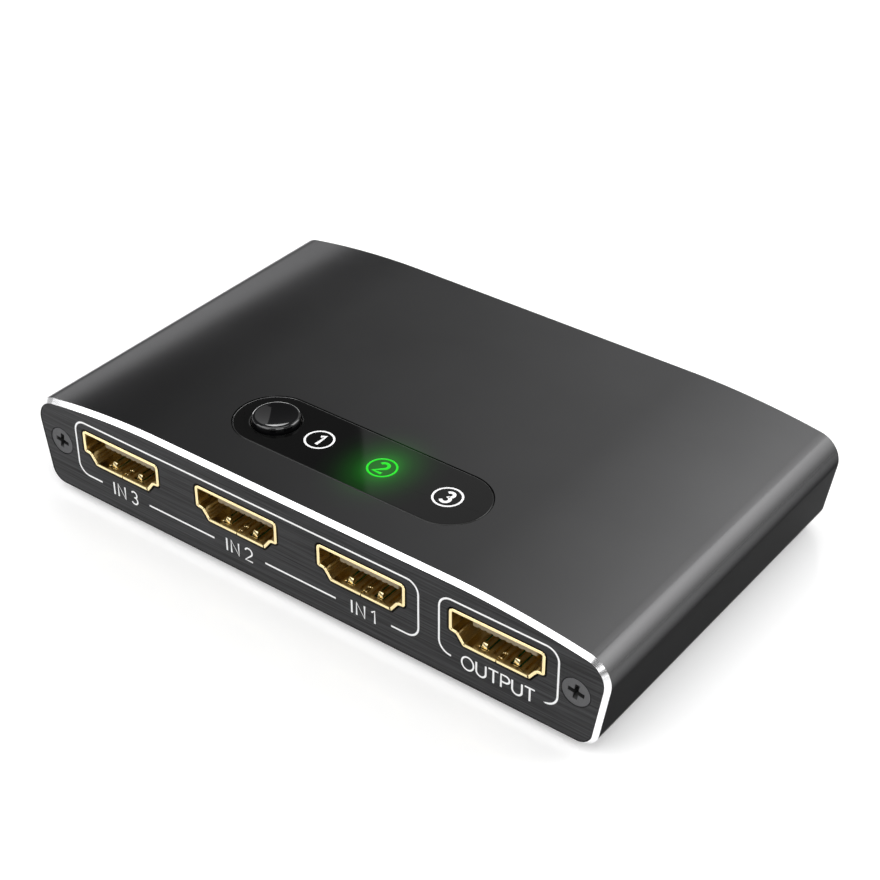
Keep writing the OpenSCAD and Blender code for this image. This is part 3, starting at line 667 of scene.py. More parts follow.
def recipes():
    """Each finish's grain, two tones, limits of roughness, strength and depth of relief, and sockets."""
    chosen = bpy.context.scene.switch_box_finishes
    button = (BLASTED, ((0.002, 0.002, 0.0025), (0.003, 0.003, 0.0035)), (0.03, 0.05), (0.01, 0.01))
    return {
        # Satin black anodising on blasted aluminium, and bare aluminium where it is cut
        "satin_black": (
            BLASTED, tones(chosen.sleeve, 0.95, 1.05), (0.13, 0.17), (0.04, 0.02),
            {"Metallic": 0.93, "Specular IOR Level": 0.0, "Specular Tint": (0.3, 0.3, 0.3, 1)},
        ),
        "cut_metal": (BRUSHED, tones(chosen.chamfer, 0.97, 1.0), (0.16, 0.22), (0.05, 0.01), METAL),
        # Dark plates, brushed along the port row
        "brushed_dark": (
            BRUSHED, tones(chosen.plate, 0.2, 2.2), (0.38, 0.55), (0.25, 0.03), {"Specular IOR Level": 0.14},
        ),
        # Plating of the ports and their contacts
        "port_gold": (BLASTED, tones(chosen.gold, 0.95, 1.0), (0.12, 0.16), (0.02, 0.01), METAL),
        "contact_gold": (BRUSHED, ((0.72, 0.5, 0.18), (0.86, 0.64, 0.28)), (0.2, 0.3), (0.1, 0.01), METAL),
        # Blackened screws, with painted shade in their cross recesses
        "screw_steel": (
            BLASTED, ((0.07, 0.07, 0.073), (0.12, 0.12, 0.124)), (0.34, 0.46), (0.15, 0.02),
            {"Metallic": 0.85},
        ),
        "screw_recess": moulded(*greys(0.004, 0.008)),
        # Plated steel and drawn aluminium of small parts
        "bright_steel": (BRUSHED, ((0.52, 0.52, 0.54), (0.64, 0.64, 0.66)), (0.2, 0.3), (0.1, 0.01), METAL),
        "can_aluminium": (BRUSHED, ((0.55, 0.56, 0.58), (0.66, 0.67, 0.69)), (0.3, 0.4), (0.1, 0.01), METAL),
        # Rubber, mouldings, board and film
        "foot_rubber": moulded(*greys(0.012, 0.022), (0.75, 0.9)),
        "port_moulding": moulded((0.22, 0.18, 0.125), (0.28, 0.23, 0.16), (0.4, 0.5)),
        "black_moulding": moulded((0.012, 0.012, 0.013), (0.018, 0.018, 0.019)),
        "chip_black": moulded((0.016, 0.016, 0.017), (0.024, 0.024, 0.025)),
        "board_green": moulded((0.008, 0.075, 0.03), (0.014, 0.11, 0.045), (0.3, 0.4)),
        "tape_film": moulded((0.68, 0.65, 0.58), (0.76, 0.73, 0.66)),
        # Lenses of the small lamps and the polished rods above them
        "lamp_lens": moulded((0.74, 0.72, 0.55), (0.82, 0.8, 0.62), (0.2, 0.3)),
        "clear_acrylic": (
            BLASTED, ((0.84, 0.89, 0.91), (0.88, 0.92, 0.94)), (0.05, 0.1), (0.02, 0.01),
            {"Transmission Weight": 0.9, "IOR": 1.49},
        ),
        # White screen print, and print lit from below
        "print_white": (BLASTED, tones(chosen.ink, 0.96, 1.0), (0.45, 0.55), (0.05, 0.01), {}),
        "print_green": (
            BLASTED, tones(chosen.lit, 0.08, 0.1), (0.4, 0.5), (0.05, 0.01),
            {"Specular IOR Level": 0.1, "Emission Color": (*chosen.lit, 1), "Emission Strength": 1.0},
        ),
        # Face and polished rim of the button
        "button_black": (*button, {"Specular IOR Level": 0.36}),
        "button_rim": (*button, {"Specular IOR Level": 1.0}),
        # Smoked panel and its broken edge
        "gloss_black": (
            BLASTED, tones(chosen.panel, 0.9, 1), (0.03, 0.05), (0.01, 0.01), {"Specular IOR Level": 0.16},
        ),
        "panel_edge": (
            BLASTED, greys(0.012, 0.018), (0.25, 0.35), (0.01, 0.01), {"Specular IOR Level": 0.35},
        ),
    }


def finish(name):
    """A finish by name, made the first time that it is asked for."""
    label = "finish_" + name
    material = bpy.data.materials.get(label)
    if material is None:
        material = grained(label, *recipes()[name])
        # The sleeve and the panel get the painted glow of green light round the lit number
        if name in ("satin_black", "gloss_black"):
            add_painted_glow(material)
    return material


# Places taken from the frame
def mark_places():
    """X of the three numbers, from the row of light guides under them."""
    first = GUIDES[0].x + GUIDE / 2
    last = GUIDES[1].x - GUIDE / 2
    return [first, (first + last) / 2, last]


def port_middle(index):
    """Middle of a port's mouth in X and Z."""
    low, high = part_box("port_shell_" + PORTS[index])
    sizes = bpy.context.scene.switch_box_ports
    return Vector(((low.x + high.x) / 2, 0, high.z - sizes.height / 2))


def plate_face():
    """Level of the front plate's face."""
    return FRONT_Y + bpy.context.scene.switch_box.plate_sink


def screw_places(node):
    """Middles of a pair of screw heads in X and Z."""
    low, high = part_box(node)
    head = high.z - low.z
    middle = (low.z + high.z) / 2
    return [Vector((low.x + head / 2, 0, middle)), Vector((high.x - head / 2, 0, middle))]


# Outlines
def meeting(first, second):
    """Where two lines meet; a line is its normal and its distance from the origin."""
    (a, reach_a), (b, reach_b) = first, second
    span_ab = a.x * b.y - a.y * b.x
    return (reach_a * b.y - reach_b * a.y) / span_ab, (a.x * reach_b - b.x * reach_a) / span_ab


def section_corners(inset):
    """Corners of the sleeve's section, drawn in all round, as (x, z, radius)."""
    sizes = bpy.context.scene.switch_box
    low, high = HOUSING
    crown = Vector((sizes.crown_flat / 2, high.z - sizes.crown_radius))
    shoulder_x = high.x - sizes.shoulder_radius
    swing = sizes.crown_radius - sizes.shoulder_radius
    shoulder = Vector((shoulder_x, crown.y + math.sqrt(swing**2 - (shoulder_x - crown.x) ** 2)))
    fall = (shoulder - crown).normalized()
    out = Vector((math.cos(sizes.side_lean), -math.sin(sizes.side_lean)))
    top = (Vector((0, 1)), high.z - inset)
    slope = (fall, fall.dot(crown) + sizes.crown_radius - inset)
    side = (out, out.dot(shoulder) + sizes.shoulder_radius - inset)
    bottom = (Vector((0, -1)), -low.z - inset)
    radii = (sizes.crown_radius, sizes.shoulder_radius, sizes.base_radius)
    lines = (top, slope, side, bottom)
    right = [(*meeting(lines[i], lines[i + 1]), radii[i] - inset) for i in range(3)]
    left = [(-x, z, radius) for x, z, radius in reversed(right)]
    return right + left


def pill_corners(width, height):
    """Corners of an outline with two round ends, each just short of a half circle."""
    radius = height / 2 * 0.9999
    half = width / 2
    return [(half, height / 2, radius), (half, -height / 2, radius),
            (-half, -height / 2, radius), (-half, height / 2, radius)]


def mouth_corners(growth):
    """Corners of a port's mouth about its middle, moved outwards by a growth."""
    sizes = bpy.context.scene.switch_box_ports
    half, high = sizes.width / 2, sizes.height / 2
    side_foot = high - sizes.side
    right = [
        (half, high, sizes.corner),
        (half, side_foot, sizes.bend),
        (half - sizes.ledge, side_foot - sizes.ledge_drop, sizes.bend),
        (half - sizes.foot_inset, -high, sizes.bend),
    ]
    corners = right + [(-x, z, radius) for x, z, radius in reversed(right)]
    return [grown_corner(corners, index, growth) for index in range(len(corners))]


def grown_corner(corners, index, growth):
    """One corner of a clockwise outline moved outwards, with its radius to match."""
    before, here, after = (Vector(corners[(index + step) % len(corners)][:2]) for step in (-1, 0, 1))
    into, away = (here - before).normalized(), (after - here).normalized()
    first, second = Vector((-into.y, into.x)), Vector((-away.y, away.x))
    moved = here + (first + second) * (growth / (1 + first.dot(second)))
    bends_out = into.x * away.y - into.y * away.x < 0
    radius = corners[index][2] + (growth if bends_out else -growth)
    return moved.x, moved.y, max(radius, 2 * NEAR)


# Printed lines
def arc_run(middle, radius, start, finish_angle, steps=12):
    """Points on an arc between two angles in degrees."""
    turn = [math.radians(start + (finish_angle - start) * step / steps) for step in range(steps + 1)]
    return [(middle[0] + radius * math.cos(a), middle[1] + radius * math.sin(a)) for a in turn]


def glyph(sign):
    """Strokes and width of a plain sign on a grid of height 1."""
    bowl = 0.27
    strokes = {
        "I": ([[(0, 0), (0, 1)]], 0),
        "N": ([[(0, 0), (0, 1), (0.64, 0), (0.64, 1)]], 0.64),
        "O": ([[(0.44 + u * 0.88, 0.5 + v) for u, v in arc_run((0, 0), 0.5, 90, 450, 40)]], 0.88),
        "U": ([[(0, 1)] + arc_run((0.35, 0.35), 0.35, 180, 360, 20) + [(0.7, 1)]], 0.7),
        "T": ([[(0, 1), (0.72, 1)], [(0.36, 1), (0.36, 0)]], 0.72),
        "P": ([[(0, 0), (0, 1)] + arc_run((0.34, 1 - bowl), bowl, 90, -90) + [(0, 1 - 2 * bowl)]], 0.61),
        "1": ([[(0, 0.8), (0.26, 1), (0.26, 0)]], 0.26),
        "2": ([arc_run((0.31, 0.7), 0.3, 160, -38, 16) + [(0, 0), (0.64, 0)]], 0.64),
        "3": ([arc_run((0.3, 0.75), 0.25, 150, -90, 14) + arc_run((0.3, 0.26), 0.28, 80, -150, 16)], 0.58),
    }
    return strokes[sign]


def word_runs(word, height, middle, gap=0.24, space=0.16):
    """Strokes of a word of plain signs, centred on a place."""
    runs = []
    reach = 0
    for sign in word:
        if sign == " ":
            reach += space
            continue
        strokes, width = glyph(sign)
        runs += [[(reach + u, v) for u, v in stroke] for stroke in strokes]
        reach += width + gap
    half = (reach - gap) / 2
    left, foot = middle[0] - half * height, middle[1] - height / 2
    return [[(left + u * height, foot + v * height) for u, v in run] for run in runs]


def frame_run(left, right, top, bottom, radius, start, finish_x):
    """One line round a frame, from a place on its lower line clockwise to another."""
    return (
        [(start, bottom)]
        + arc_run((left + radius, bottom + radius), radius, 270, 180, 8)
        + arc_run((left + radius, top - radius), radius, 180, 90, 8)
        + arc_run((right - radius, top - radius), radius, 90, 0, 8)
        + arc_run((right - radius, bottom + radius), radius, 0, -90, 8)
        + [(finish_x, bottom)]
    )


def printed(name, runs, line, level, plane="FRONT"):
    """Flat ink lines along runs of points, standing a little proud of a face."""
    ink = bpy.context.scene.switch_box_print.ink
    curve = bpy.data.curves.new(name, "CURVE")
    curve.dimensions = "3D"
    curve.bevel_depth = line / 2
    curve.bevel_resolution = 1
    curve.use_fill_caps = True
    for run in runs:
        closed = math.dist(run[0], run[-1]) < NEAR
        points = run[:-1] if closed else run
        spline = curve.splines.new("POLY")
        spline.points.add(len(points) - 1)
        spline.use_cyclic_u = closed
        for point, (u, v) in zip(spline.points, points):
            point.co = (u, 0, v, 1) if plane == "FRONT" else (u, v, 0, 1)
    obj = bpy.data.objects.new(name, curve)
    bpy.context.collection.objects.link(obj)
    alone(obj)
    bpy.ops.object.convert(target="MESH")
    obj = bpy.context.object
    flat = 2 * ink / line
    if plane == "FRONT":
        obj.scale = (1, flat, 1)
        obj.location = (0, level, 0)
    else:
        obj.scale = (1, 1, flat)
        obj.location = (0, 0, level)
    return smooth(close_up(named(name)), 60)


# Pieces
class SWITCHBOX_OT_sleeve(bpy.types.Operator):
    """Model the extruded sleeve with its bright chamfers, rebates and panel recess"""

    bl_idname = "switchbox.sleeve"
    bl_label = "Sleeve"

    def execute(self, context):
        sizes = context.scene.switch_box
        sleeve = outline("sleeve", section_corners(0), segments=16)
        push(sleeve, (0, FRONT_Y, 0), (0, BACK_Y - FRONT_Y, 0))
        self.cut_ends(sleeve, sizes)
        self.cut_top(sleeve, context.scene.switch_box_top)
        slant = math.sin(math.radians(45))
        paint(sleeve, "satin_black", "cut_metal", lambda face: abs(abs(face.normal.y) - slant) < 0.05)
        smooth(sleeve, 25)
        place_piece(sleeve, "black_anodised", ["housing"])
        return {"FINISHED"}

    def cut_ends(self, sleeve, sizes):
        """Chamfer both ends, sink a seat for the plates and open the tunnel."""
        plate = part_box("front_plate")
        seat = plate[1].y - plate[0].y
        edit(sleeve)
        ends = (on_level(1, FRONT_Y), on_level(1, BACK_Y))
        pick(sleeve, "EDGE", lambda edge: ends[0](edge) or ends[1](edge))
        bpy.ops.mesh.bevel(offset=sizes.chamfer, offset_type="OFFSET", segments=1, affect="EDGES")
        pick(sleeve, "FACE", facing(1))
        bpy.ops.mesh.inset(thickness=sizes.lip, use_even_offset=True)
        bpy.ops.mesh.extrude_region_shrink_fatten(TRANSFORM_OT_shrink_fatten={"value": -seat})
        bpy.ops.mesh.inset(thickness=sizes.wall - sizes.chamfer - sizes.lip, use_even_offset=True)
        bpy.ops.mesh.bridge_edge_loops()
        leave_edit()
        close_up(sleeve)

    def cut_top(self, sleeve, top):
        """Sink the panel's recess and drill the holes under it."""
        low, high = PANEL
        gap = top.panel_gap
        pill = pill_corners(high.x - low.x + 2 * gap, high.y - low.y + 2 * gap)
        recess = outline("recess", pill, "TOP", 24)
        floor = low.z - top.tape
        push(recess, (0, PANEL_Y, floor), (0, 0, 2 * (TOP_Z - floor)))
        carve(sleeve, recess)
        holes = [(BUTTON_X, top.button / 2 + top.button_gap)]
        holes += [(x, GUIDE / 2 + gap) for x in mark_places()]
        for x, radius in holes:
            drill(sleeve, x, radius, TOP_Z - 4 * MM, TOP_Z + MM)


class SWITCHBOX_OT_end_plates(bpy.types.Operator):
    """Model the brushed front and rear plates with their cut-outs"""

    bl_idname = "switchbox.end_plates"
    bl_label = "End plates"

    def execute(self, context):
        sizes = context.scene.switch_box
        ports = context.scene.switch_box_ports
        front = self.blank("front_face_plate", "front_plate", sizes)
        for index in range(len(PORTS)):
            hole = outline("hole", mouth_corners(ports.clearance), segments=5)
            low = port_middle(index) + Vector((0, FRONT_Y - MM, 0))
            push(hole, low, (0, 5 * MM, 0))
            carve(front, hole)
        rear = self.blank("rear_face_plate", "rear_plate", sizes)
        power_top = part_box("power_shell")[1].z
        gap = 0.2 * MM
        pill = pill_corners(ports.power_width + 2 * gap, ports.power_height + 2 * gap)
        hole = outline("hole", pill, segments=12)
        push(hole, (0, BACK_Y - 4 * MM, power_top - ports.power_height / 2), (0, 5 * MM, 0))
        carve(rear, hole)
        for plate, node, screws, face, way in (
            (front, "front_plate", "front_screws", plate_face(), 1),
            (rear, "rear_plate", "rear_screws", BACK_Y - sizes.plate_sink, -1),
        ):
            self.countersink(plate, screws, face, way, sizes)
            soften(plate, sizes.plate_edge, 2, 35)
            place_piece(plate, "brushed_dark", [node])
        return {"FINISHED"}

    def blank(self, name, node, sizes):
        """A plate in the shape of the sleeve's mouth."""
        low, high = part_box(node)
        plate = outline(name, section_corners(sizes.chamfer + sizes.lip + sizes.plate_gap), segments=12)
        sink = sizes.plate_sink if low.y < 0 else 0
        return push(plate, (0, low.y + sink, 0), (0, high.y - low.y - sizes.plate_sink, 0))

    def countersink(self, plate, screws, face, way, sizes):
        """Sink seats for the two screw heads."""
        head = sizes.screw_head / 2 + sizes.plate_gap
        shank = sizes.screw_shank / 2 + sizes.plate_gap
        deep = 0.05 * MM
        rings = [(head, -MM), (head, deep), (shank, deep + head - shank), (shank, 4 * MM)]
        for middle in screw_places(screws):
            sink = turned("sink", rings)
            sink.data.transform(at_end(middle, face, way))
            carve(plate, sink)


class SWITCHBOX_OT_screws(bpy.types.Operator):
    """Model the four countersunk cross-head screws"""

    bl_idname = "switchbox.screws"
    bl_label = "Screws"

    def execute(self, context):
        sizes = context.scene.switch_box
        low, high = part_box("front_screws")
        head, shank = sizes.screw_head / 2, sizes.screw_shank / 2
        sink = sizes.plate_sink
        long = high.y - low.y - sink
        rings = [(head, 0), (shank, head - shank), (shank, long - MM), (shank / 3, long)]
        screw = turned("screw", rings, 48)
        for arm in self.cross(sizes):
            carve(screw, arm)
        soften(screw, 0.07 * MM, 2, 35)
        # The faces inside the cross recess are painted near-black as shade
        paint(screw, "screw_steel", "screw_recess", self.in_recess(head))
        for node, name, face, way in (
            ("front_screws", "front_cross_screws", low.y + sink, 1),
            ("rear_screws", "rear_cross_screws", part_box("rear_screws")[1].y - sink, -1),
        ):
            spin = Matrix.Rotation(math.radians(8 * way), 4, "Z")
            places = [at_end(middle, face, way) @ spin for middle in screw_places(node)]
            pair = [moved_copy(screw, name, place) for place in places]
            place_piece(join(name, pair), "screw_steel", [node])
        bpy.data.objects.remove(screw)
        return {"FINISHED"}

    def in_recess(self, head):
        """A test for the faces inside the cross recess, which get painted shade: under the top, above the tip
        and clear of the cone.
        """
        top, tip, clear = 0.06 * MM, 1.15 * MM, 0.25 * MM
        return lambda face: top < face.center.z < tip and face.center.xy.length < head - face.center.z - clear

    def cross(self, sizes):
        """Two tapered arms of the cross recess."""
        half, wide, deep = sizes.screw_cross / 2, sizes.screw_cross_width / 2, 1.1 * MM
        arms = []
        for x, y, taper in ((half, wide, (0.45, 0.8, 1)), (wide, half, (0.8, 0.45, 1))):
            arm = block("arm", (-x, -y, -MM), (x, y, deep))
            edit(arm)
            pick(arm, "FACE", facing(2, 1))
            bpy.ops.transform.resize(value=taper, center_override=(0, 0, deep))
            leave_edit()
            arms.append(arm)
        return arms


class SWITCHBOX_OT_feet(bpy.types.Operator):
    """Model the four stick-on rubber feet"""

    bl_idname = "switchbox.feet"
    bl_label = "Feet"

    def execute(self, context):
        low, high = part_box("rubber_feet")
        edge = context.scene.switch_box.foot_edge
        radius = 4 * MM
        dish = 0.15 * MM
        rings = [(radius - 3 * edge, dish), (radius - 2 * edge, 0), (radius, 0), (radius, HOUSING[0].z)]
        foot = turned("foot", rings, 48)
        soften(foot, edge * 0.8, 4, 50)
        feet = [
            moved_copy(foot, "foot", Matrix.Translation((x, y, 0)))
            for x in (low.x + radius, high.x - radius)
            for y in (low.y + radius, high.y - radius)
        ]
        bpy.data.objects.remove(foot)
        place_piece(join("stick_on_feet", feet), "foot_rubber", ["rubber_feet"])
        return {"FINISHED"}


class SWITCHBOX_OT_video_ports(bpy.types.Operator):
    """Model the four gold port shells and their dark tongues"""

    bl_idname = "switchbox.video_ports"
    bl_label = "Video ports"

    def execute(self, context):
        sizes = context.scene.switch_box_ports
        shell = self.shell(sizes)
        tongue = self.tongue(sizes)
        first = port_middle(0)
        for index, port in enumerate(PORTS):
            shift = Matrix.Translation((port_middle(index).x - first.x, 0, 0))
            copy = moved_copy(shell, "gold_shell_" + port, shift)
            place_piece(copy, "port_gold", ["port_shell_" + port])
            copy = moved_copy(tongue, "tongue_" + port, shift)
            place_piece(copy, "port_moulding", ["port_insulator_" + port])
            dress(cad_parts["port_contacts_" + port], "contact_gold")
        bpy.data.objects.remove(shell)
        bpy.data.objects.remove(tongue)
        return {"FINISHED"}

    def shell(self, sizes):
        """The first port's shell: a folded tube with slotted fingers, a locked seam and legs."""
        middle = port_middle(0)
        shell = outline("shell", mouth_corners(0), segments=6)
        inset = 0.01 * MM
        push(shell, middle + Vector((0, FRONT_Y + inset, 0)), (0, sizes.depth - inset, 0))
        open_tube(shell, sizes.wall)
        carve(shell, self.slots(sizes, middle))
        carve(shell, self.seam(sizes, middle))
        soften(shell, sizes.lip, 3, 40)
        extras = [self.bump(sizes, middle, side) for side in SIDES] + self.legs(sizes, middle)
        return join("shell", [shell] + extras)

    def slots(self, sizes, middle):
        """Slots that free two fingers in the floor and two in the ceiling."""
        slot, start = sizes.finger_slot, FRONT_Y + sizes.finger_start
        near, far = sizes.finger_width / 2, sizes.finger_width / 2 + slot
        end, front = start + sizes.finger_length, start + slot
        spans = ((-far, -near, end), (near, far, end), (-far, far, front))
        cuts = []
        for side in SIDES:
            x = middle.x + side * sizes.finger_place
            for up in SIDES:
                z = middle.z + up * (sizes.height - sizes.wall) / 2
                low_z, high_z = z - sizes.wall * 0.8, z + sizes.wall * 0.8
                for left, right, back in spans:
                    cuts.append(block("slot", (x + left, start, low_z), (x + right, back, high_z)))
        return join("slots", cuts)

    def seam(self, sizes, middle):
        """A hair-wide slit along the floor with a dovetail that locks the fold."""
        half = 0.05 * MM
        near, far, wide, flare = 0.8 * MM, 1.7 * MM, 0.55 * MM, 0.2 * MM
        tail = [(wide, near - flare), (wide, far + flare)]
        path = [(0, -MM), (0, near), *tail, (0, far), (0, sizes.depth + MM)]
        low_z, high_z = -0.2 * MM, sizes.wall * 1.4
        floor = middle.z - sizes.height / 2
        pieces = []
        for (x0, y0), (x1, y1) in zip(path[:-1], path[1:]):
            reach = Vector((x1 - x0, y1 - y0, 0))
            strip = block("strip", (-half, -half, low_z), (half, reach.length + half, high_z))
            turn = Matrix.Rotation(math.atan2(-reach.x, reach.y), 4, "Z")
            strip.data.transform(Matrix.Translation((middle.x + x0, FRONT_Y + y0, floor)) @ turn)
            pieces.append(strip)
        return join("seam", pieces)

    def bump(self, sizes, middle, side):
        """A contact point pressed up in the tip of a finger, with a sloping front."""
        half = sizes.bump / 2
        x = middle.x + side * sizes.finger_place
        y = FRONT_Y + sizes.finger_start + sizes.finger_slot
        z = middle.z - sizes.height / 2 + sizes.wall
        bump = block("bump", (x - half, y, z - 0.1 * MM), (x + half, y + sizes.bump, z + sizes.bump_rise))
        edit(bump)
        pick(bump, "EDGE", lambda edge: all(v.co.z > z and v.co.y < y + half for v in edge.verts))
        bpy.ops.transform.translate(value=(0, sizes.bump_slope, 0))
        leave_edit()
        return soften(bump, 0.04 * MM, 2, 25)

    def legs(self, sizes, middle):
        """Four legs that pass through the board."""
        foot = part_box("port_shell_" + PORTS[0])[0].z
        thick, wide = sizes.wall, 1.8 * MM
        legs = []
        for side in SIDES:
            for y in (FRONT_Y + 3 * MM, FRONT_Y + 8 * MM):
                x = middle.x + side * (sizes.width - thick) / 2
                start = (x - thick / 2, y - wide / 2, foot)
                leg = block("leg", start, (x + thick / 2, y + wide / 2, middle.z))
                legs.append(soften(leg, 0.08 * MM, 2, 40))
        return legs

    def tongue(self, sizes):
        """The first port's tongue: a grooved blade on a block that closes the shell."""
        middle = port_middle(0)
        core_front = FRONT_Y + sizes.depth - sizes.core
        core = outline("core", mouth_corners(-sizes.wall - 0.05 * MM), segments=4)
        push(core, middle + Vector((0, core_front, 0)), (0, sizes.core, 0))
        half, thick = sizes.tongue_width / 2, sizes.tongue_height / 2
        start = FRONT_Y + sizes.tongue_setback
        level = middle.z + sizes.tongue_rise
        blade = block(
            "blade",
            (middle.x - half, start, level - thick),
            (middle.x + half, core_front + 0.5 * MM, level + thick),
        )
        soften(blade, sizes.tongue_nose, 2, 40)
        for count, up in ((10, 1), (9, -1)):
            carve(blade, self.grooves(sizes, Vector((middle.x, 0, level)), start, count, up))
        smooth(blade, 30)
        return join("tongue", [blade, soften(core, 0.1 * MM, 2, 40)])

    def grooves(self, sizes, middle, start, count, up):
        """A row of contact grooves that run out at the tongue's front edge."""
        pitch, half, deep = MM, sizes.groove / 2, 0.26 * MM
        face = middle.z + up * sizes.tongue_height / 2
        first = middle.x - (count - 1) / 2 * pitch
        low_z, high_z = sorted((face - up * deep, face + up * deep))
        groove = block("groove", (first - half, start - MM, low_z), (first + half, start + 4.4 * MM, high_z))
        return row(groove, count, pitch)


class SWITCHBOX_OT_power_socket(bpy.types.Operator):
    """Model the oval power socket at the rear"""

    bl_idname = "switchbox.power_socket"
    bl_label = "Power socket"

    def execute(self, context):
        sizes = context.scene.switch_box_ports
        low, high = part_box("power_shell")
        middle_z = high.z - sizes.power_height / 2
        shell = outline("oval_power_shell", pill_corners(sizes.power_width, sizes.power_height), segments=14)
        push(shell, (0, low.y, middle_z), (0, high.y - low.y, 0))
        open_tube(shell, sizes.power_wall)
        soften(shell, 0.09 * MM, 3, 40)
        leg_place, thick, wide = 4.147 * MM, 0.12 * MM, 0.55 * MM
        legs = []
        for x in (-leg_place, leg_place):
            for y in (high.y - 3.4 * MM, high.y - 6 * MM):
                start = (x - thick, y - wide, low.z)
                legs.append(block("leg", start, (x + thick, y + wide, middle_z - 0.7 * MM)))
        join(shell.name, [shell] + legs)
        place_piece(shell, "bright_steel", ["power_shell"])
        self.tongue(sizes, middle_z)
        return {"FINISHED"}

    def tongue(self, sizes, middle_z):
        """The socket's tongue on its block, with a groove for each contact."""
        low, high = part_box("power_insulator")
        inner = 2 * (sizes.power_wall + 0.05 * MM)
        pill = pill_corners(sizes.power_width - inner, sizes.power_height - inner)
        core = outline("power_tongue", pill, segments=12)
        push(core, (0, low.y, middle_z), (0, 2.4 * MM, 0))
        half = (sizes.power_width - 2.3 * MM) / 2
        thick = 0.35 * MM
        blade = block("blade", (-half, low.y + 2 * MM, middle_z - thick), (half, high.y, middle_z + thick))
        soften(blade, 0.1 * MM, 3, 40)
        pitch, contact = 0.8 * MM, 0.23 * MM
        first = -2.5 * pitch
        groove = block(
            "groove",
            (first - contact, low.y - MM, middle_z + thick - 0.16 * MM),
            (first + contact, high.y - 0.45 * MM, middle_z + MM / 2),
        )
        row(groove, 6, pitch)
        tongue = join("power_tongue", [soften(core, 0.08 * MM, 2, 40), blade])
        carve(tongue, groove)
        place_piece(smooth(tongue), "black_moulding", ["power_insulator"])


class SWITCHBOX_OT_top_panel(bpy.types.Operator):
    """Model the gloss black panel"""

    bl_idname = "switchbox.top_panel"
    bl_label = "Top panel"

    def execute(self, context):
        sizes = context.scene.switch_box_top
        low, high = PANEL
        panel = outline("gloss_panel", pill_corners(high.x - low.x, high.y - low.y), "TOP", 24)
        push(panel, (0, PANEL_Y, low.z), (0, 0, high.z - low.z))
        drill(panel, BUTTON_X, sizes.button / 2 + sizes.button_gap, low.z - MM, high.z + MM, 96)
        soften(panel, sizes.panel_edge, 5, 40)
        paint(panel, "gloss_black", "panel_edge", lambda face: 0.1 < face.normal.z < 0.95)
        place_piece(panel, "gloss_black", ["top_panel"])
        return {"FINISHED"}


class SWITCHBOX_OT_button(bpy.types.Operator):
    """Model the dished push button, which moves with its own body"""

    bl_idname = "switchbox.button"
    bl_label = "Button"

    def execute(self, context):
        sizes = context.scene.switch_box_top
        low, high = BUTTON
        radius, flange = sizes.button / 2, (high.x - low.x) / 2
        rim = high.z - sizes.button_rim
        flange_top = TOP_Z - 1.8 * MM
        flange_low = flange_top - 0.8 * MM
        stem = 1.5 * MM
        rings = [(stem, low.z), (stem, flange_low), (flange, flange_low)]
        rings += [(flange, flange_top), (radius, flange_top), (radius, rim)]
        button = turned("dished_button", rings, 96)
        self.dish(button, sizes, rim)
        button.data.transform(Matrix.Translation((BUTTON_X, PANEL_Y, 0)))
        smooth(button, 35)
        paint(button, "button_black", "button_rim", self.on_rim(rim))
        place_piece(button, "button_black", ["select_button"], "button")
        return {"FINISHED"}

    def on_rim(self, rim):
        """A test for the faces of the rounded rim."""
        return lambda face: TOP_Z < face.center.z < rim and face.normal.z < 0.98

    def dish(self, button, sizes, rim):
        """Round the rim and lower the face in rings to a shallow dish."""
        edit(button)
        pick(button, "EDGE", on_level(2, rim))
        bpy.ops.mesh.bevel(offset=sizes.button_edge, offset_type="OFFSET", segments=5, affect="EDGES")
        pick(button, "FACE", lambda face: face.normal.z > 0.99 and face.calc_center_median().z > rim - NEAR)
        face_radius = sizes.button / 2 - sizes.button_edge
        bend = (face_radius**2 + sizes.button_dish**2) / (2 * sizes.button_dish)
        steps = 8
        depth = 0
        for step in range(1, steps):
            ring = face_radius * (1 - step / steps)
            fall = math.sqrt(bend**2 - ring**2) - (bend - sizes.button_dish)
            bpy.ops.mesh.inset(thickness=face_radius / steps, depth=depth - fall, use_even_offset=True)
            depth = fall
        leave_edit()
        close_up(button)


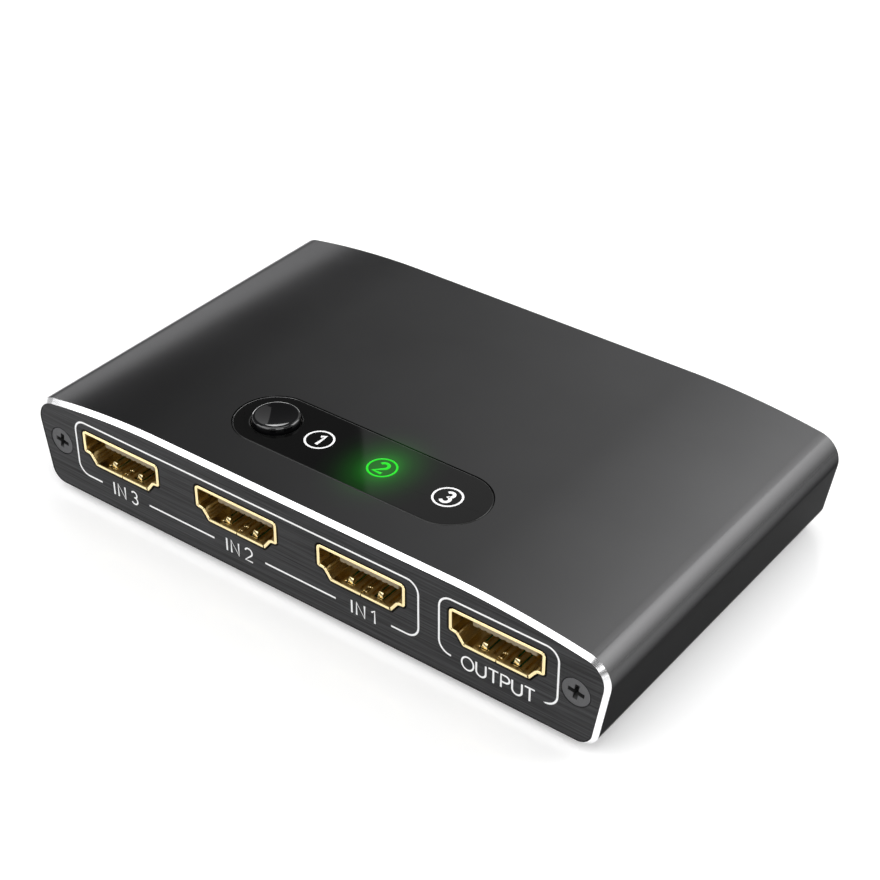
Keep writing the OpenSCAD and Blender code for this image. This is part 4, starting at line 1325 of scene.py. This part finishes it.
class SWITCHBOX_OT_print(bpy.types.Operator):
    """Print the frames and words on the front plate and the ringed numbers on the panel"""

    bl_idname = "switchbox.print"
    bl_label = "Print"

    def execute(self, context):
        sizes = context.scene.switch_box_print
        self.frames(sizes)
        self.words(sizes)
        self.numbers(context.scene.switch_box_top)
        return {"FINISHED"}

    def frames(self, sizes):
        """One frame round the three inputs, open at each word, and one round the output."""
        middles = [port_middle(index).x + sizes.word_shift for index in range(len(PORTS))]
        half = sizes.input_gap / 2
        gaps = [(x - half, x + half) for x in middles[:3]]
        edges = (sizes.top, sizes.bottom, sizes.corner)
        runs = [frame_run(sizes.inputs_left, sizes.inputs_right, *edges, gaps[0][0], gaps[2][1])]
        for before, after in zip(gaps[:-1], gaps[1:]):
            runs.append([(before[1], sizes.bottom), (after[0], sizes.bottom)])
        half = sizes.output_gap / 2
        ends = (middles[3] - half, middles[3] + half)
        runs.append(frame_run(sizes.output_left, sizes.output_right, *edges, *ends))
        frames = printed("printed_frames", runs, sizes.line, plate_face())
        place_piece(frames, "print_white")

    def words(self, sizes):
        """IN 3, IN 2, IN 1 and OUTPUT under their ports."""
        for index, port in enumerate(PORTS):
            middle = (port_middle(index).x + sizes.word_shift, sizes.bottom)
            gap = OUTPUT_SIGN_GAP if port == "out" else INPUT_SIGN_GAP
            runs = word_runs(WORDS[port], sizes.word, middle, gap)
            place_piece(printed("printed_word_" + port, runs, sizes.word_line, plate_face()), "print_white")

    def numbers(self, top):
        """Numbers 1 to 3 in rings on the panel, with the middle one lit."""
        for sign, x in zip("123", mark_places()):
            ring = arc_run((x, PANEL_Y), (top.ring - top.ring_line) / 2, 0, 360, 64)
            runs = word_runs(sign, top.figure, (x, PANEL_Y))
            slot = "print_green" if sign == "2" else "print_white"
            place_piece(printed("ring_" + sign, [ring], top.ring_line, TOP_Z, "TOP"), slot)
            place_piece(printed("number_" + sign, runs, top.figure_line, TOP_Z, "TOP"), slot)


class SWITCHBOX_OT_inner_parts(bpy.types.Operator):
    """Give the pieces inside the box their finishes"""

    bl_idname = "switchbox.inner_parts"
    bl_label = "Inner parts"

    def execute(self, context):
        choices = {
            "tape_film": ("panel_tape",),
            "black_moulding": ("switch_base", "switch_plunger", "light_shroud", "ir_receiver"),
            "bright_steel": ("switch_terminals", "switch_cover", "crystal"),
            "contact_gold": ("switch_dome", "power_contacts"),
            "clear_acrylic": ("light_guides",),
            "lamp_lens": ("indicator_leds",),
            "board_green": ("main_board",),
            "chip_black": ("switch_chip", "control_chip", "regulator", "surge_chips", "resistors"),
            "can_aluminium": ("capacitors",),
        }
        for name, nodes in choices.items():
            for node in nodes:
                dress(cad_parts[node], name)
        return {"FINISHED"}


class SWITCHBOX_OT_studio(bpy.types.Operator):
    """Set the floor, the soft lights and the camera"""

    bl_idname = "switchbox.studio"
    bl_label = "Studio"

    def execute(self, context):
        context.scene.view_settings.view_transform = "Standard"
        self.floor(context.scene.switch_box_finishes.floor)
        self.world(context.scene)
        lamps = {lamp[0]: self.softbox(*lamp) for lamp in LAMPS}
        polished = [bpy.data.objects[name] for name in ("gloss_panel", "dished_button")]
        self.link(lamps["graded wall"], polished, "EXCLUDE")
        self.link(lamps["panel card"], polished, "INCLUDE")
        self.camera(context.scene)
        return {"FINISHED"}

    def floor(self, tint):
        """A wide white floor that keeps the box's shadow."""
        bpy.ops.object.select_all(action="DESELECT")
        bpy.ops.mesh.primitive_plane_add(size=FLOOR_SIZE)
        floor = named("floor")
        material = bpy.data.materials.new("studio_floor")
        material.use_nodes = True
        tree = material.node_tree
        white = (1, 1, 1, 1)
        surface = tree.nodes["Principled BSDF"]
        settle(surface, Base_Color=(*tint, 1), Roughness=0.07, Specular_IOR_Level=0.3, Emission_Color=white)
        rays = tree.nodes.new("ShaderNodeLightPath")
        seen = maths(tree, "ADD", rays.outputs["Is Camera Ray"], rays.outputs["Is Glossy Ray"])
        seen = maths(tree, "ADD", seen, rays.outputs["Is Transmission Ray"])
        glow = maths(tree, "MULTIPLY", maths(tree, "MINIMUM", seen, 1), self.far_white(tree))
        wire(tree, (glow, surface.inputs["Emission Strength"]))
        floor.data.materials.append(material)

    def far_white(self, tree):
        """White that the floor adds for the eye: little round the box, all of it far off."""
        level = settle(tree.nodes.new("ShaderNodeMapRange"), From_Min=0.6, From_Max=0.1, To_Min=0.2, To_Max=1)
        wire(tree, (nearness(tree, (1.6, 1.6, 1.6)), level.inputs["Value"]))
        return level.outputs["Result"]

    def world(self, scene):
        """Dim even surroundings, white for the eye and, close above the floor, white in mirrors."""
        scene.world = bpy.data.worlds.new("studio")
        scene.world.use_nodes = True
        tree = scene.world.node_tree
        background = settle(tree.nodes["Background"], Color=(1, 1, 1, 1))
        rays = tree.nodes.new("ShaderNodeLightPath")
        place = tree.nodes.new("ShaderNodeTexCoord")
        parts = tree.nodes.new("ShaderNodeSeparateXYZ")
        low = settle(tree.nodes.new("ShaderNodeMapRange"), From_Min=0.14, From_Max=0, To_Min=0, To_Max=1)
        wire(
            tree,
            (place.outputs["Generated"], parts.inputs["Vector"]),
            (parts.outputs["Z"], low.inputs["Value"]),
        )
        mirrored = maths(tree, "MULTIPLY", rays.outputs["Is Glossy Ray"], low.outputs["Result"])
        seen = maths(tree, "ADD", rays.outputs["Is Camera Ray"], rays.outputs["Is Transmission Ray"])
        seen = maths(tree, "MINIMUM", maths(tree, "MAXIMUM", seen, mirrored), 1)
        wire(tree, (maths(tree, "MAXIMUM", seen, WORLD_STRENGTH), background.inputs["Strength"]))

    def softbox(self, name, place, target, size, power):
        """A rectangular soft light aimed at a target, even or graded across its width and height."""
        lamp = bpy.data.lights.new(name, "AREA")
        lamp.shape = "RECTANGLE"
        lamp.size, lamp.size_y = size
        lamp.energy = power
        if name in GRADES:
            lamp.use_nodes = True
            self.fade(lamp.node_tree, *GRADES[name])
        obj = bpy.data.objects.new(name, lamp)
        obj.location = place
        aim = Vector(target) - Vector(place)
        obj.rotation_euler = aim.to_track_quat("-Z", "Y").to_euler()
        bpy.context.collection.objects.link(obj)
        return obj

    def link(self, lamp, pieces, state):
        """Keep a lamp off some pieces, or for them alone."""
        receivers = bpy.data.collections.new(lamp.name + " pieces")
        for piece in pieces:
            receivers.objects.link(piece)
        for entry in receivers.collection_objects:
            entry.light_linking.link_state = state
        lamp.light_linking.receiver_collection = receivers

    def fade(self, tree, across, upwards, strength):
        """Grade a lamp across its width and up its height."""
        place = tree.nodes.new("ShaderNodeNewGeometry")
        parts = tree.nodes.new("ShaderNodeSeparateXYZ")
        wire(tree, (place.outputs["Parametric"], parts.inputs["Vector"]))
        levels = []
        for axis, grade in (("X", across), ("Y", upwards)):
            steps = [(position, (level,) * 3) for position, level in grade]
            levels.append(ramp(tree, parts.outputs[axis], steps))
        lamp = tree.nodes["Emission"]
        wire(
            tree,
            (levels[0], lamp.inputs["Color"]),
            (maths(tree, "MULTIPLY", levels[1], strength), lamp.inputs["Strength"]),
        )

    def camera(self, scene):
        """The photograph's view."""
        lens = bpy.data.cameras.new("camera")
        lens.lens = LENS
        lens.sensor_width = SENSOR
        lens.clip_start = 0.01
        camera = bpy.data.objects.new("camera", lens)
        azimuth, elevation, roll = (math.radians(angle) for angle in CAMERA_TURN)
        turn = Matrix.Rotation(azimuth, 4, "Z") @ Matrix.Rotation(math.pi / 2 - elevation, 4, "X")
        turn = turn @ Matrix.Rotation(roll, 4, "Z")
        camera.matrix_world = Matrix.Translation(CAMERA_PLACE) @ turn
        bpy.context.collection.objects.link(camera)
        scene.camera = camera


STEPS = (
    SWITCHBOX_OT_sleeve,
    SWITCHBOX_OT_end_plates,
    SWITCHBOX_OT_screws,
    SWITCHBOX_OT_feet,
    SWITCHBOX_OT_video_ports,
    SWITCHBOX_OT_power_socket,
    SWITCHBOX_OT_top_panel,
    SWITCHBOX_OT_button,
    SWITCHBOX_OT_print,
    SWITCHBOX_OT_inner_parts,
    SWITCHBOX_OT_studio,
)


class SWITCHBOX_PT_sidebar(bpy.types.Panel):
    """Lists the steps and the sizes of the switch box"""

    bl_idname = "SWITCHBOX_PT_sidebar"
    bl_label = "Switch box"
    bl_space_type = "VIEW_3D"
    bl_region_type = "UI"
    bl_category = "Switch box"

    def draw(self, context):
        for step in STEPS:
            self.layout.operator(step.bl_idname)
        for group in SETTINGS:
            settings = getattr(context.scene, group)
            for name in settings.__annotations__:
                self.layout.prop(settings, name)


SETTINGS = {
    "switch_box": BoxSizes,
    "switch_box_ports": PortSizes,
    "switch_box_top": TopSizes,
    "switch_box_print": PrintSizes,
    "switch_box_finishes": Finishes,
}
CLASSES = (*SETTINGS.values(), *STEPS, SWITCHBOX_PT_sidebar)


def register():
    """Register the classes and hang the settings on the scene."""
    for entry in CLASSES:
        bpy.utils.register_class(entry)
    for name, group in SETTINGS.items():
        setattr(bpy.types.Scene, name, bpy.props.PointerProperty(type=group))


def unregister():
    """Take the settings and the classes away again."""
    for name in SETTINGS:
        delattr(bpy.types.Scene, name)
    for entry in reversed(CLASSES):
        bpy.utils.unregister_class(entry)


def main():
    """Register the steps and build the pieces in order."""
    register()
    for step in STEPS:
        group, name = step.bl_idname.split(".")
        getattr(getattr(bpy.ops, group), name)()
    bpy.context.view_layer.update()


if __name__ == "__main__":
    main()
